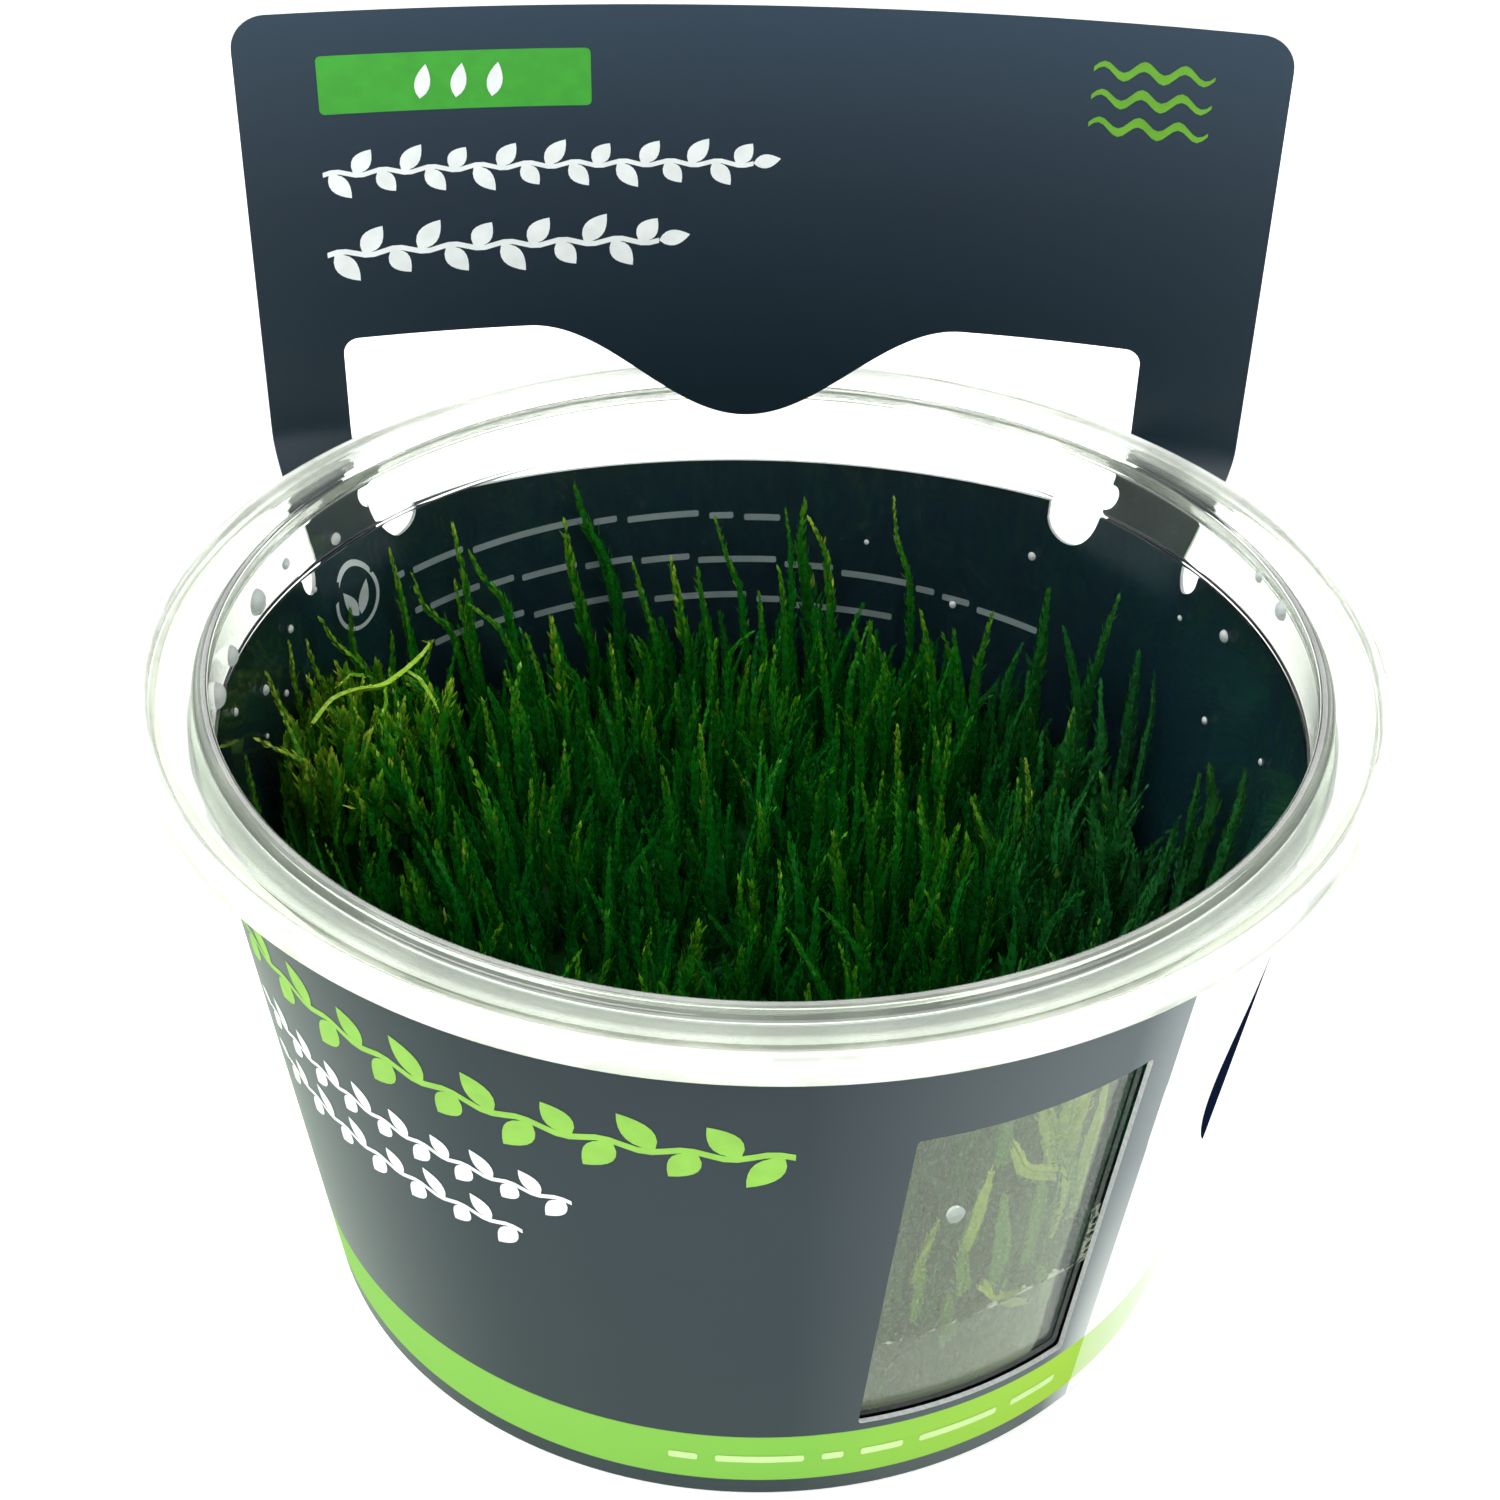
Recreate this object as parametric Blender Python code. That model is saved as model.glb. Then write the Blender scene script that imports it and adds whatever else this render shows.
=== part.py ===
# Spiky moss grown in gel, in a clear round culture cup with a card sleeve and header.
# All sizes below are in millimetres; add_object turns them into metres.
# The cup stands on z = 0 with its axis on Z, and the header card is on the +Y side.

import math
import random

import bmesh
import bpy
from mathutils import Vector, noise
from mathutils.geometry import delaunay_2d_cdt

GAP = 0.3                      # left between pieces that touch

CUP_SEGMENTS = 64
CUP_HEIGHT = 58.47
CUP_TAPER = 0.145              # growth of the radius per millimetre of height
CUP_OUTER_FOOT = 37.9          # outer radius of the tapered wall, carried down to z = 0
CUP_INNER_FOOT = 36.85         # inner radius of the tapered wall, carried down to z = 0
CUP_FLOOR = 1.0
STEP_HEIGHT = 52.35            # inner ledge where the taper turns into the straight collar
COLLAR_OUTER = 45.5
COLLAR_INNER = 44.6
FLANGE_TOP = 57.8
FLANGE_UNDER = 57.0
FLANGE_OUTER = 50.5
SKIRT_LOWER = 55.6

CARD = 0.5                     # thickness of the card
SLEEVE_LOWER = 0.3
SLEEVE_TURN = 1.2877           # degrees round the cup per millimetre along the flat card
SLEEVE_SHIFT = -4.35           # the header's centre line stands this many degrees round the cup
SLEEVE_STEP = 5.0              # degrees between the sleeve's columns

HEADER_TOP = 96.7
HEADER_HALF = 45.3
HEADER_CORNER = 3.0
HEADER_FRONT = 43.0            # y of the card's front face at z = 60
HEADER_X = -2.0
HEADER_LEAN = -0.066
HEADER_TWIST = 0.031
HEADER_BEND = 130.0            # bend radius at z = 60
HEADER_BEND_GROWTH = 1.665
OPENING_LEFT = -38.1
OPENING_RIGHT = 35.4
OPENING_TOP = 65.9
TONGUE_CENTRE = -1.2
TONGUE_HALF = 20.0
TONGUE_DROP = 10.0
FLARE_START = 46.8             # the straps leave the sleeve here
FLARE_END = 57.5               # and are on the header's surface from here up
FLARE_SIDE = 4.8               # width beside a strap in which the sleeve comes away with it

WINDOW_LOWER = 9.3             # die-cut window in the front of the sleeve
WINDOW_UPPER = 44.6
WINDOW_LOWER_ANGLES = (138.2, 165.8)
WINDOW_UPPER_ANGLES = (137.8, 163.8)
WINDOW_CORNER = 0.9

GEL_LEVEL = 18.0
GRID = 16                      # cells across the gel and moss grid
GRID_RADIUS = 38.6
MOSS_BED = 31.0                # mean height of the closed mass of shoots
MOSS_BED_LEAST = 25.8
MOSS_RIM = 40.2                # radius of the bed at its top edge
MOSS_TIP_LIMIT = 49.6
SHOOT_FOOT = 0.36              # width of a shoot's foot, as a share of its cell
SHOOTS_APART = 1.7
# shoots that stand out: x where they leave the bed, then x, y, z of the tip
TALL_SHOOTS = (
    (13.7, 11.3, 38.4, 49.5), (4.5, 2.8, 37.4, 49.5), (5.5, 3.6, 34.6, 49.2),
    (-2.2, -5.3, 33.9, 49.2), (-16.9, -19.4, 33.0, 48.6), (-7.1, -9.2, 28.9, 47.5),
    (-10.1, -12.5, 27.8, 47.5), (-23.4, -27.5, 27.6, 48.5), (1.6, 0.8, 27.3, 48.0),
    (24.9, 25.4, 27.2, 46.8), (29.8, 31.6, 25.9, 47.0), (-28.1, -32.7, 25.8, 47.0),
    (19.3, 20.1, 24.0, 46.0), (16.2, 13.8, 23.5, 46.5), (29.3, 27.0, 23.3, 45.0),
    (-22.2, -26.9, 23.0, 46.0), (33.6, 33.7, 22.8, 43.0), (9.4, 9.1, 21.2, 46.5),
    (-3.5, -2.2, 21.1, 45.0), (-17.8, -19.4, 19.2, 46.8), (-13.2, -14.2, 19.2, 45.5),
    (-35.0, -39.4, 16.2, 48.1), (-37.8, -40.3, 13.3, 47.6), (-20.9, -22.8, 13.0, 45.0),
    (-39.8, -41.3, 10.6, 48.9), (-22.1, -24.4, 8.8, 45.0), (12.9, 11.6, 8.8, 44.0),
    (-5.1, -5.5, 7.3, 44.5), (31.2, 29.6, 6.1, 41.0), (-39.7, -42.3, 6.0, 48.8),
    (23.4, 22.7, 5.8, 43.0), (40.8, 41.4, 5.3, 42.5), (34.1, 35.1, 1.0, 39.0),
    (-37.5, -42.3, 1.0, 45.9), (10.0, 8.7, 0.9, 43.0), (-17.5, -17.7, 0.1, 42.0),
    (17.1, 17.5, -3.2, 41.0), (7.5, 6.3, -3.4, 41.0), (-14.4, -14.3, -4.0, 41.0),
    (-27.5, -29.4, -5.5, 38.0), (-24.3, -25.1, -5.8, 38.5), (-8.3, -9.3, -8.3, 42.0),
    (0.9, -0.3, -10.1, 40.5), (-5.6, -4.6, -13.5, 39.0), (-1.3, -1.0, -17.1, 39.5),
)


def material(name, colour, roughness, transmission=0.0, ior=1.5):
    made = bpy.data.materials.new(name)
    made.use_nodes = True
    shader = made.node_tree.nodes["Principled BSDF"]
    shader.inputs["Base Color"].default_value = (*colour, 1.0)
    shader.inputs["Roughness"].default_value = roughness
    shader.inputs["Transmission Weight"].default_value = transmission
    shader.inputs["IOR"].default_value = ior
    return made


def add_object(name, points, faces, surface, smooth_degrees):
    """One closed body from points in millimetres."""
    mesh = bpy.data.meshes.new(name)
    mesh.from_pydata([Vector(p) * 0.001 for p in points], [], faces)
    shape = bmesh.new()
    shape.from_mesh(mesh)
    bmesh.ops.remove_doubles(shape, verts=shape.verts, dist=2e-6)
    bmesh.ops.recalc_face_normals(shape, faces=shape.faces)
    shape.to_mesh(mesh)
    shape.free()
    mesh.shade_smooth()
    mesh.set_sharp_from_angle(angle=math.radians(smooth_degrees))
    mesh.materials.append(surface)
    made = bpy.data.objects.new(name, mesh)
    bpy.context.scene.collection.objects.link(made)
    return made


def along(start, end, step):
    """Points from start up to, but not including, end."""
    count = max(1, math.ceil(math.dist(start, end) / step))
    return [
        (start[0] + (end[0] - start[0]) * i / count, start[1] + (end[1] - start[1]) * i / count)
        for i in range(count)
    ]


def arc(centre, radius_u, radius_z, first, last, count):
    """Points of an elliptic arc between two angles in degrees, both ends included."""
    turns = [math.radians(first + (last - first) * i / count) for i in range(count + 1)]
    return [
        (centre[0] + radius_u * math.cos(t), centre[1] + radius_z * math.sin(t)) for t in turns
    ]


def spun(profile, segments):
    """Points and faces of a closed profile turned about Z; it starts and ends on the axis."""
    rings = profile[1:-1]
    points = [(0.0, 0.0, profile[0][1]), (0.0, 0.0, profile[-1][1])]
    for radius, height in rings:
        for i in range(segments):
            turn = 2 * math.pi * i / segments
            points.append((radius * math.sin(turn), radius * math.cos(turn), height))
    faces = []
    last = 2 + (len(rings) - 1) * segments
    for i in range(segments):
        j = (i + 1) % segments
        faces.append((0, 2 + i, 2 + j))
        faces.append((1, last + j, last + i))
        for ring in range(len(rings) - 1):
            low = 2 + ring * segments
            faces.append((low + i, low + segments + i, low + segments + j, low + j))
    return points, faces


def cup_profile():
    """Half section of the cup: out along the base, up the outside, over the rim, down inside."""
    def outer(z):
        return CUP_OUTER_FOOT + CUP_TAPER * z

    def inner(z):
        return CUP_INNER_FOOT + CUP_TAPER * z

    return [
        (0.0, 0.0),
        (37.1, 0.0),
        (37.75, 0.3),
        (outer(1.0), 1.0),
        (outer(STEP_HEIGHT - 0.2), STEP_HEIGHT - 0.2),
        (COLLAR_OUTER, STEP_HEIGHT + 0.3),
        (COLLAR_OUTER, FLANGE_UNDER),
        (FLANGE_OUTER - 0.95, FLANGE_UNDER),
        (FLANGE_OUTER - 0.75, SKIRT_LOWER),
        (FLANGE_OUTER - 0.1, SKIRT_LOWER),
        (FLANGE_OUTER, FLANGE_TOP - 0.3),
        (FLANGE_OUTER - 0.25, FLANGE_TOP + 0.25),
        (FLANGE_OUTER - 0.75, FLANGE_TOP + 0.4),
        (FLANGE_OUTER - 1.25, FLANGE_TOP + 0.25),
        (FLANGE_OUTER - 1.6, FLANGE_TOP),
        (COLLAR_OUTER + 0.2, FLANGE_TOP),
        (COLLAR_OUTER, CUP_HEIGHT - 0.15),
        (COLLAR_OUTER - 0.2, CUP_HEIGHT),
        (COLLAR_INNER + 0.2, CUP_HEIGHT),
        (COLLAR_INNER, CUP_HEIGHT - 0.2),
        (COLLAR_INNER, STEP_HEIGHT + 0.25),
        (inner(STEP_HEIGHT), STEP_HEIGHT),
        (inner(2.1), 2.1),
        (36.6, CUP_FLOOR + 0.3),
        (35.8, CUP_FLOOR),
        (0.0, CUP_FLOOR),
    ]


def smooth_step(t):
    t = min(1.0, max(0.0, t))
    return t * t * (3.0 - 2.0 * t)


def header_point(s, z):
    """Front face of the header: a gently bent, slightly leaning card. s runs along the card."""
    bend = HEADER_BEND + HEADER_BEND_GROWTH * (z - 60.0)
    aside = bend * math.sin(s / bend)
    y = HEADER_FRONT + HEADER_LEAN * (z - 60.0) + HEADER_TWIST * aside
    return Vector((HEADER_X + aside, y - bend * (1.0 - math.cos(s / bend)), z))


def sleeve_point(s, z):
    """Inner face of the sleeve, which follows the cup's taper."""
    turn = math.radians(SLEEVE_TURN * s + SLEEVE_SHIFT)
    radius = CUP_OUTER_FOOT + GAP + CUP_TAPER * z
    return Vector((radius * math.sin(turn), radius * math.cos(turn), z))


def flare(s, z):
    """0 on the sleeve and 1 on the header; only the straps leave the sleeve low down."""
    if OPENING_LEFT < s < OPENING_RIGHT:
        beside = min(s - OPENING_LEFT, OPENING_RIGHT - s)
    else:
        beside = max(0.0, abs(s) - HEADER_HALF)
    start = FLARE_START + (52.4 - FLARE_START) * smooth_step(beside / FLARE_SIDE)
    end = FLARE_END if beside < FLARE_SIDE else 55.4
    return smooth_step((z - start) / (end - start))


def card_point(s, z):
    blend = flare(s, z)
    if blend <= 0.0:
        return sleeve_point(s, z)
    if blend >= 1.0:
        return header_point(s, z)
    return sleeve_point(s, z).lerp(header_point(s, z), blend)


def card_normal(s, z):
    """Direction from the inner face to the outer face."""
    step = 0.02
    on_left = s <= 0.0
    side = step if on_left else -step
    along_card = (card_point(s + side, z) - card_point(s, z)) * (1 if on_left else -1)
    up_card = card_point(s, z + step) - card_point(s, z - step)
    return up_card.cross(along_card).normalized()


def at_angle(degrees):
    """Place along the flat card of an angle round the cup, measured from +Y towards +X."""
    return (degrees - SLEEVE_SHIFT) / SLEEVE_TURN


def notch(left, right, bottom, depth):
    """Round-bottomed notch, from its left side to its right one, below a free edge."""
    half = (right - left) / 2.0
    rise = min(half, depth)
    return arc(((left + right) / 2.0, bottom + rise), half, rise, 180.0, 360.0, 8)


def upper_edge(degrees):
    """Height of the sleeve's free edge between the straps and round the front."""
    if abs(degrees) < 50.0:
        return 50.0 + 1.25 * (degrees / 35.0) ** 2
    return 51.6 + 0.5 * math.sin(math.radians(max(0.0, abs(degrees) - 60.0) * 0.75))


def sleeve_columns(first, last):
    """Column angles strictly between two angles, in degrees."""
    low = math.ceil((first + 0.9) / SLEEVE_STEP)
    high = math.floor((last - 0.9) / SLEEVE_STEP)
    return [SLEEVE_STEP * i for i in range(low, high + 1)]


def edge_run(first, last):
    """The sleeve's upper edge between two angles, both ends included."""
    angles = [first, *sleeve_columns(first, last), last]
    return [(at_angle(a), upper_edge(a)) for a in angles]


SEAM_ROWS = (11.0, 22.0, 33.0, 43.0)


def card_outline():
    """Outer edge of the flat card, anticlockwise from the foot of the seam."""
    seam_left = at_angle(-180.0)
    seam_right = at_angle(180.0)
    left_notch = -HEADER_HALF - 3.2
    right_notch = HEADER_HALF + 3.4
    angle_left = SLEEVE_TURN * left_notch + SLEEVE_SHIFT
    angle_right = SLEEVE_TURN * right_notch + SLEEVE_SHIFT

    foot = [(at_angle(a), SLEEVE_LOWER) for a in sleeve_columns(-180.0, 180.0)]
    points = [(seam_left, SLEEVE_LOWER), *foot, (seam_right, SLEEVE_LOWER)]
    points += [(seam_right, z) for z in SEAM_ROWS]
    points += reversed(edge_run(angle_right, 180.0))
    points += list(reversed(notch(HEADER_HALF, right_notch, 49.1, 2.4)))
    corner = HEADER_TOP - HEADER_CORNER
    points += along((HEADER_HALF, 52.3), (HEADER_HALF, 58.0), 0.9)
    points += along((HEADER_HALF, 58.0), (HEADER_HALF, corner), 8.0)
    points += arc((HEADER_HALF - HEADER_CORNER, corner), HEADER_CORNER, HEADER_CORNER, 0, 90, 5)
    points += along(
        (HEADER_HALF - HEADER_CORNER, HEADER_TOP), (HEADER_CORNER - HEADER_HALF, HEADER_TOP), 7.0
    )[1:]
    points += arc((HEADER_CORNER - HEADER_HALF, corner), HEADER_CORNER, HEADER_CORNER, 90, 180, 5)
    points += along((-HEADER_HALF, corner), (-HEADER_HALF, 58.0), 8.0)[1:]
    points += along((-HEADER_HALF, 58.0), (-HEADER_HALF, 52.3), 0.9)
    points += list(reversed(notch(left_notch, -HEADER_HALF, 49.4, 2.2)))
    points += reversed(edge_run(-180.0, angle_left))
    points += [(seam_left, z) for z in reversed(SEAM_ROWS)]
    return points


def header_opening():
    """Opening between the straps, with the tongue hanging into it."""
    left_notch = at_angle(-47.0)
    right_notch = at_angle(34.9)
    points = notch(OPENING_LEFT, left_notch, 49.9, 2.0)[:-1]
    points += edge_run(-47.0, 34.9)
    points += notch(right_notch, OPENING_RIGHT, 47.7, 2.4)[1:]
    points += arc((OPENING_RIGHT, 52.2), 1.0, 0.9, -90, 90, 6)
    points += along((OPENING_RIGHT, 53.1), (OPENING_RIGHT, 57.2), 0.9)[1:]
    points += along((OPENING_RIGHT, 57.2), (OPENING_RIGHT, OPENING_TOP - 1.4), 3.0)
    points += arc((OPENING_RIGHT - 1.4, OPENING_TOP - 1.4), 1.4, 1.4, 0, 90, 4)
    root = TONGUE_CENTRE + TONGUE_HALF
    points += along((OPENING_RIGHT - 1.4, OPENING_TOP), (root, OPENING_TOP), 6.0)[1:]
    count = 24
    for i in range(count + 1):
        s = root - 2.0 * TONGUE_HALF * i / count
        swing = math.cos(math.pi * (s - TONGUE_CENTRE) / TONGUE_HALF)
        points.append((s, OPENING_TOP - TONGUE_DROP * 0.5 * (1.0 + swing)))
    points += along((root - 2.0 * TONGUE_HALF, OPENING_TOP), (OPENING_LEFT + 1.4, OPENING_TOP), 6.0)[1:]
    points += arc((OPENING_LEFT + 1.4, OPENING_TOP - 1.4), 1.4, 1.4, 90, 180, 4)
    points += along((OPENING_LEFT, OPENING_TOP - 1.4), (OPENING_LEFT, 57.2), 3.0)[1:]
    points += along((OPENING_LEFT, 57.2), (OPENING_LEFT, 53.1), 0.9)
    points += arc((OPENING_LEFT, 52.4), 0.9, 0.7, 90, 270, 6)
    return points


def sleeve_window():
    """The die-cut window at the front, a slightly slanted rectangle with small round corners."""
    lower = [at_angle(a) for a in WINDOW_LOWER_ANGLES]
    upper = [at_angle(a) for a in WINDOW_UPPER_ANGLES]
    r = WINDOW_CORNER
    points = arc((lower[0] + r, WINDOW_LOWER + r), r, r, 180, 270, 3)
    for angle in sleeve_columns(*WINDOW_LOWER_ANGLES):
        points.append((at_angle(angle), WINDOW_LOWER))
    points += arc((lower[1] - r, WINDOW_LOWER + r), r, r, 270, 360, 3)
    points += along((lower[1], WINDOW_LOWER + r), (upper[1], WINDOW_UPPER - r), 9.0)[1:]
    points += arc((upper[1] - r, WINDOW_UPPER - r), r, r, 0, 90, 3)
    for angle in reversed(sleeve_columns(*WINDOW_UPPER_ANGLES)):
        points.append((at_angle(angle), WINDOW_UPPER))
    points += arc((upper[0] + r, WINDOW_UPPER - r), r, r, 90, 180, 3)
    points += along((upper[0], WINDOW_UPPER - r), (lower[0], WINDOW_LOWER + r), 9.0)[1:]
    return points


def inside(point, loop):
    """Whether a point lies inside a closed loop of points."""
    x, y = point
    found = False
    for (x1, y1), (x2, y2) in zip(loop, loop[1:] + loop[:1]):
        if (y1 > y) != (y2 > y) and x < (x2 - x1) * (y - y1) / (y2 - y1) + x1:
            found = not found
    return found


def clear_of(point, loops, margin):
    """Whether a point is at least margin away from the corners of every loop."""
    return all(math.dist(point, corner) > margin for loop in loops for corner in loop)


def card_grid(loops):
    """Points inside the card that let it follow its bends."""
    places = []
    for angle in sleeve_columns(-180.0, 180.0):
        places += [(at_angle(angle), z, 2.2) for z in SEAM_ROWS]
    for strap in (-41.7, 40.4, 37.9, 42.9):
        places += [(strap, 45.6 + 0.95 * i, 0.7) for i in range(14)]
    for side in (-35.0, -47.6, 33.0, 47.8):
        places += [(side, 45.2 + 1.5 * i, 1.0) for i in range(3)]
    for column in range(-6, 7):
        places += [(7.0 * column, 70.0 + 8.5 * i, 3.0) for i in range(4)]
    for column in range(-2, 3):
        places += [(TONGUE_CENTRE + 4.2 * column, 62.5, 2.0)]
    return [(s, z) for s, z, margin in places if clear_of((s, z), loops, margin)]


def card_body():
    """Points and faces of the whole card: both faces, joined along every cut edge."""
    loops = [card_outline(), header_opening(), sleeve_window()]
    flat = []
    edges = []
    for loop in loops:
        first = len(flat)
        flat += loop
        edges += [(first + i, first + (i + 1) % len(loop)) for i in range(len(loop))]
    flat += [p for p in card_grid(loops) if inside(p, loops[0])
             and not inside(p, loops[1]) and not inside(p, loops[2])]
    spots, _, triangles, *_ = delaunay_2d_cdt([Vector(p) for p in flat], edges, [], 1, 1e-5)
    kept = []
    for triangle in triangles:
        middle = sum((spots[i] for i in triangle), Vector((0.0, 0.0))) / len(triangle)
        if not inside(middle, loops[1]) and not inside(middle, loops[2]):
            kept.append(tuple(triangle))

    inner = [card_point(*p) for p in spots]
    outer = [q + card_normal(*p) * CARD for p, q in zip(spots, inner)]
    count = len(spots)
    faces = [tuple(reversed(t)) for t in kept] + [tuple(i + count for i in t) for t in kept]
    used = {}
    for triangle in kept:
        for a, b in zip(triangle, triangle[1:] + triangle[:1]):
            used[(a, b)] = used.get((a, b), 0) + 1
    seam = {i for i, p in enumerate(spots) if abs(abs(p[0] * SLEEVE_TURN + SLEEVE_SHIFT) - 180.0) < 1e-3}
    for a, b in used:
        if (b, a) not in used and not (a in seam and b in seam):
            faces.append((a, b, b + count, a + count))
    return inner + outer, faces


def disc_place(i, j, radius):
    """Corner of a square grid laid smoothly over a round disc."""
    u = 2.0 * i / GRID - 1.0
    v = 2.0 * j / GRID - 1.0
    return (radius * u * math.sqrt(1.0 - v * v / 2.0), radius * v * math.sqrt(1.0 - u * u / 2.0))


def gel_height(x, y):
    """The gel's uneven surface."""
    wave = noise.noise(Vector((x * 0.055, y * 0.055, 3.7)))
    return GEL_LEVEL + 1.6 * wave + 0.02 * x


def grid_rim():
    """Grid corners round the edge, in order."""
    side = range(GRID)
    rim = [(i, 0) for i in side] + [(GRID, j) for j in side]
    return rim + [(GRID - i, GRID) for i in side] + [(0, GRID - j) for j in side]


def gel_body():
    """The gel: a wavy top on the shared grid, tapered side and flat bottom."""
    index = {}
    points = []
    for i in range(GRID + 1):
        for j in range(GRID + 1):
            x, y = disc_place(i, j, GRID_RADIUS)
            index[(i, j)] = len(points)
            points.append((x, y, gel_height(x, y)))
    faces = []
    for i in range(GRID):
        for j in range(GRID):
            faces.append((index[(i, j)], index[(i + 1, j)], index[(i + 1, j + 1)], index[(i, j + 1)]))
    rim = grid_rim()
    rings = [[index[key] for key in rim]]
    for radius, height in ((37.0 - GAP, 2.4), (35.9 - GAP, CUP_FLOOR + GAP)):
        ring = []
        for key in rim:
            x, y = disc_place(*key, radius)
            ring.append(len(points))
            points.append((x, y, height))
        rings.append(ring)
    middle = len(points)
    points.append((0.0, 0.0, CUP_FLOOR + GAP))
    count = len(rim)
    for k in range(count):
        n = (k + 1) % count
        for upper, lower in zip(rings, rings[1:]):
            faces.append((upper[k], lower[k], lower[n], upper[n]))
        faces.append((rings[-1][k], middle, rings[-1][n]))
    return points, faces


def bed_height(x, y):
    """Top of the closed mass of shoots: highest by the left wall, lowest at the back right."""
    rough = 1.4 * noise.noise(Vector((x * 0.09, y * 0.09, 8.1)))
    mound = 3.5 * math.exp(-((x + 37.0) / 9.0) ** 2 - ((y - 8.0) / 11.0) ** 2)
    sunk = 0.34 * max(0.0, x - 25.0) * min(1.0, max(0.0, (y + 22.0) / 18.0))
    edge = (math.hypot(x, y) / MOSS_RIM) ** 4
    return max(MOSS_BED_LEAST, MOSS_BED + rough + mound - sunk - 2.0 * edge)


def held_in(x, y, height):
    """A tip moved inwards where it would come too near the cup's wall."""
    scale = min(1.0, (CUP_INNER_FOOT + CUP_TAPER * height - 1.2) / math.hypot(x, y))
    return Vector((x * scale, y * scale, height))


def random_tip(foot, pick):
    """Tip of an ordinary shoot, which stands nearly upright and leans out a little."""
    rise = pick.uniform(5.0, 10.5) + 0.02 * foot.y
    lean_x = 0.006 * min(0.0, foot.x) + pick.uniform(-0.08, 0.08)
    lean_y = 0.0016 * foot.y + pick.uniform(-0.08, 0.08)
    height = min(MOSS_TIP_LIMIT, foot.z + rise)
    return held_in(foot.x + lean_x * rise, foot.y + lean_y * rise, height)


def apart(foot, tip, others):
    """True where a shoot keeps clear of the others at every height they share."""
    for other_foot, other_tip in others:
        level = max(foot.z, other_foot.z)
        while level < min(tip.z, other_tip.z):
            here = foot.lerp(tip, (level - foot.z) / (tip.z - foot.z))
            there = other_foot.lerp(other_tip, (level - other_foot.z) / (other_tip.z - other_foot.z))
            if (here - there).xy.length < SHOOTS_APART:
                return False
            level += 1.5
    return True


def shoot_plan(middles, pick):
    """Which cells carry a shoot, and where its tip is: the tall ones first, then the crowd."""
    plan = {}
    for foot_x, x, y, z in sorted(TALL_SHOOTS, key=lambda shoot: -shoot[3]):
        free = [cell for cell in middles if cell not in plan]
        cell = min(free, key=lambda c: math.hypot(middles[c].x - foot_x, middles[c].y - y))
        tip = held_in(x, y, min(z, MOSS_TIP_LIMIT))
        if apart(middles[cell], tip, plan.values()):
            plan[cell] = (middles[cell], tip)
    for cell in sorted(middles):
        if cell in plan or middles[cell].xy.length > MOSS_RIM - 2.2:
            continue
        tip = random_tip(middles[cell], pick)
        sparse = 0.66 if middles[cell].x > 20.0 else 0.9
        if pick.random() < sparse and apart(middles[cell], tip, plan.values()):
            plan[cell] = (middles[cell], tip)
    return plan


def moss_body():
    """The moss: a rough bed on the gel with tapered shoots grown out of its cells."""
    points = []
    lower = {}
    upper = {}
    for i in range(GRID + 1):
        for j in range(GRID + 1):
            x, y = disc_place(i, j, GRID_RADIUS)
            lower[(i, j)] = len(points)
            points.append((x, y, gel_height(x, y) + GAP))
            x, y = disc_place(i, j, MOSS_RIM)
            upper[(i, j)] = len(points)
            points.append((x, y, bed_height(x, y)))
    corners = {(i, j): [(i, j), (i + 1, j), (i + 1, j + 1), (i, j + 1)]
               for i in range(GRID) for j in range(GRID)}
    middles = {key: sum((Vector(points[upper[c]]) for c in cell), Vector()) / 4.0
               for key, cell in corners.items()}
    plan = shoot_plan(middles, random.Random(11))
    faces = []
    for key, cell in corners.items():
        faces.append(tuple(lower[c] for c in reversed(cell)))
        ring = [upper[c] for c in cell]
        if key not in plan:
            faces.append(tuple(ring))
            continue
        middle, tip = plan[key]
        collar = []
        for k in ring:
            collar.append(len(points))
            points.append(tuple(middle.lerp(Vector(points[k]), SHOOT_FOOT) + (tip - middle) * 0.14))
        top = len(points)
        points.append(tuple(tip))
        for k in range(4):
            n = (k + 1) % 4
            faces.append((ring[k], ring[n], collar[n], collar[k]))
            faces.append((collar[k], collar[n], top))
    rim = grid_rim()
    for a, b in zip(rim, rim[1:] + rim[:1]):
        faces.append((lower[a], lower[b], upper[b], upper[a]))
    return points, faces


def build():
    for old in list(bpy.data.objects):
        bpy.data.objects.remove(old, do_unlink=True)
    clear = material("clear_plastic", (0.93, 0.95, 0.95), 0.08, 0.95, 1.49)
    card = material("printed_card", (0.045, 0.065, 0.085), 0.45)
    agar = material("agar_gel", (0.55, 0.62, 0.48), 0.25, 0.6, 1.34)
    plant = material("moss_green", (0.035, 0.14, 0.02), 0.6)
    add_object("cup", *spun(cup_profile(), CUP_SEGMENTS), clear, 35.0)
    add_object("card_sleeve", *card_body(), card, 40.0)
    add_object("nutrient_gel", *gel_body(), agar, 50.0)
    add_object("moss", *moss_body(), plant, 50.0)


build()
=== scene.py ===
import math
import random
from functools import partial

import bmesh
import bpy
import numpy as np
from mathutils import Matrix, Vector, noise
from mathutils.geometry import delaunay_2d_cdt


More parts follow.
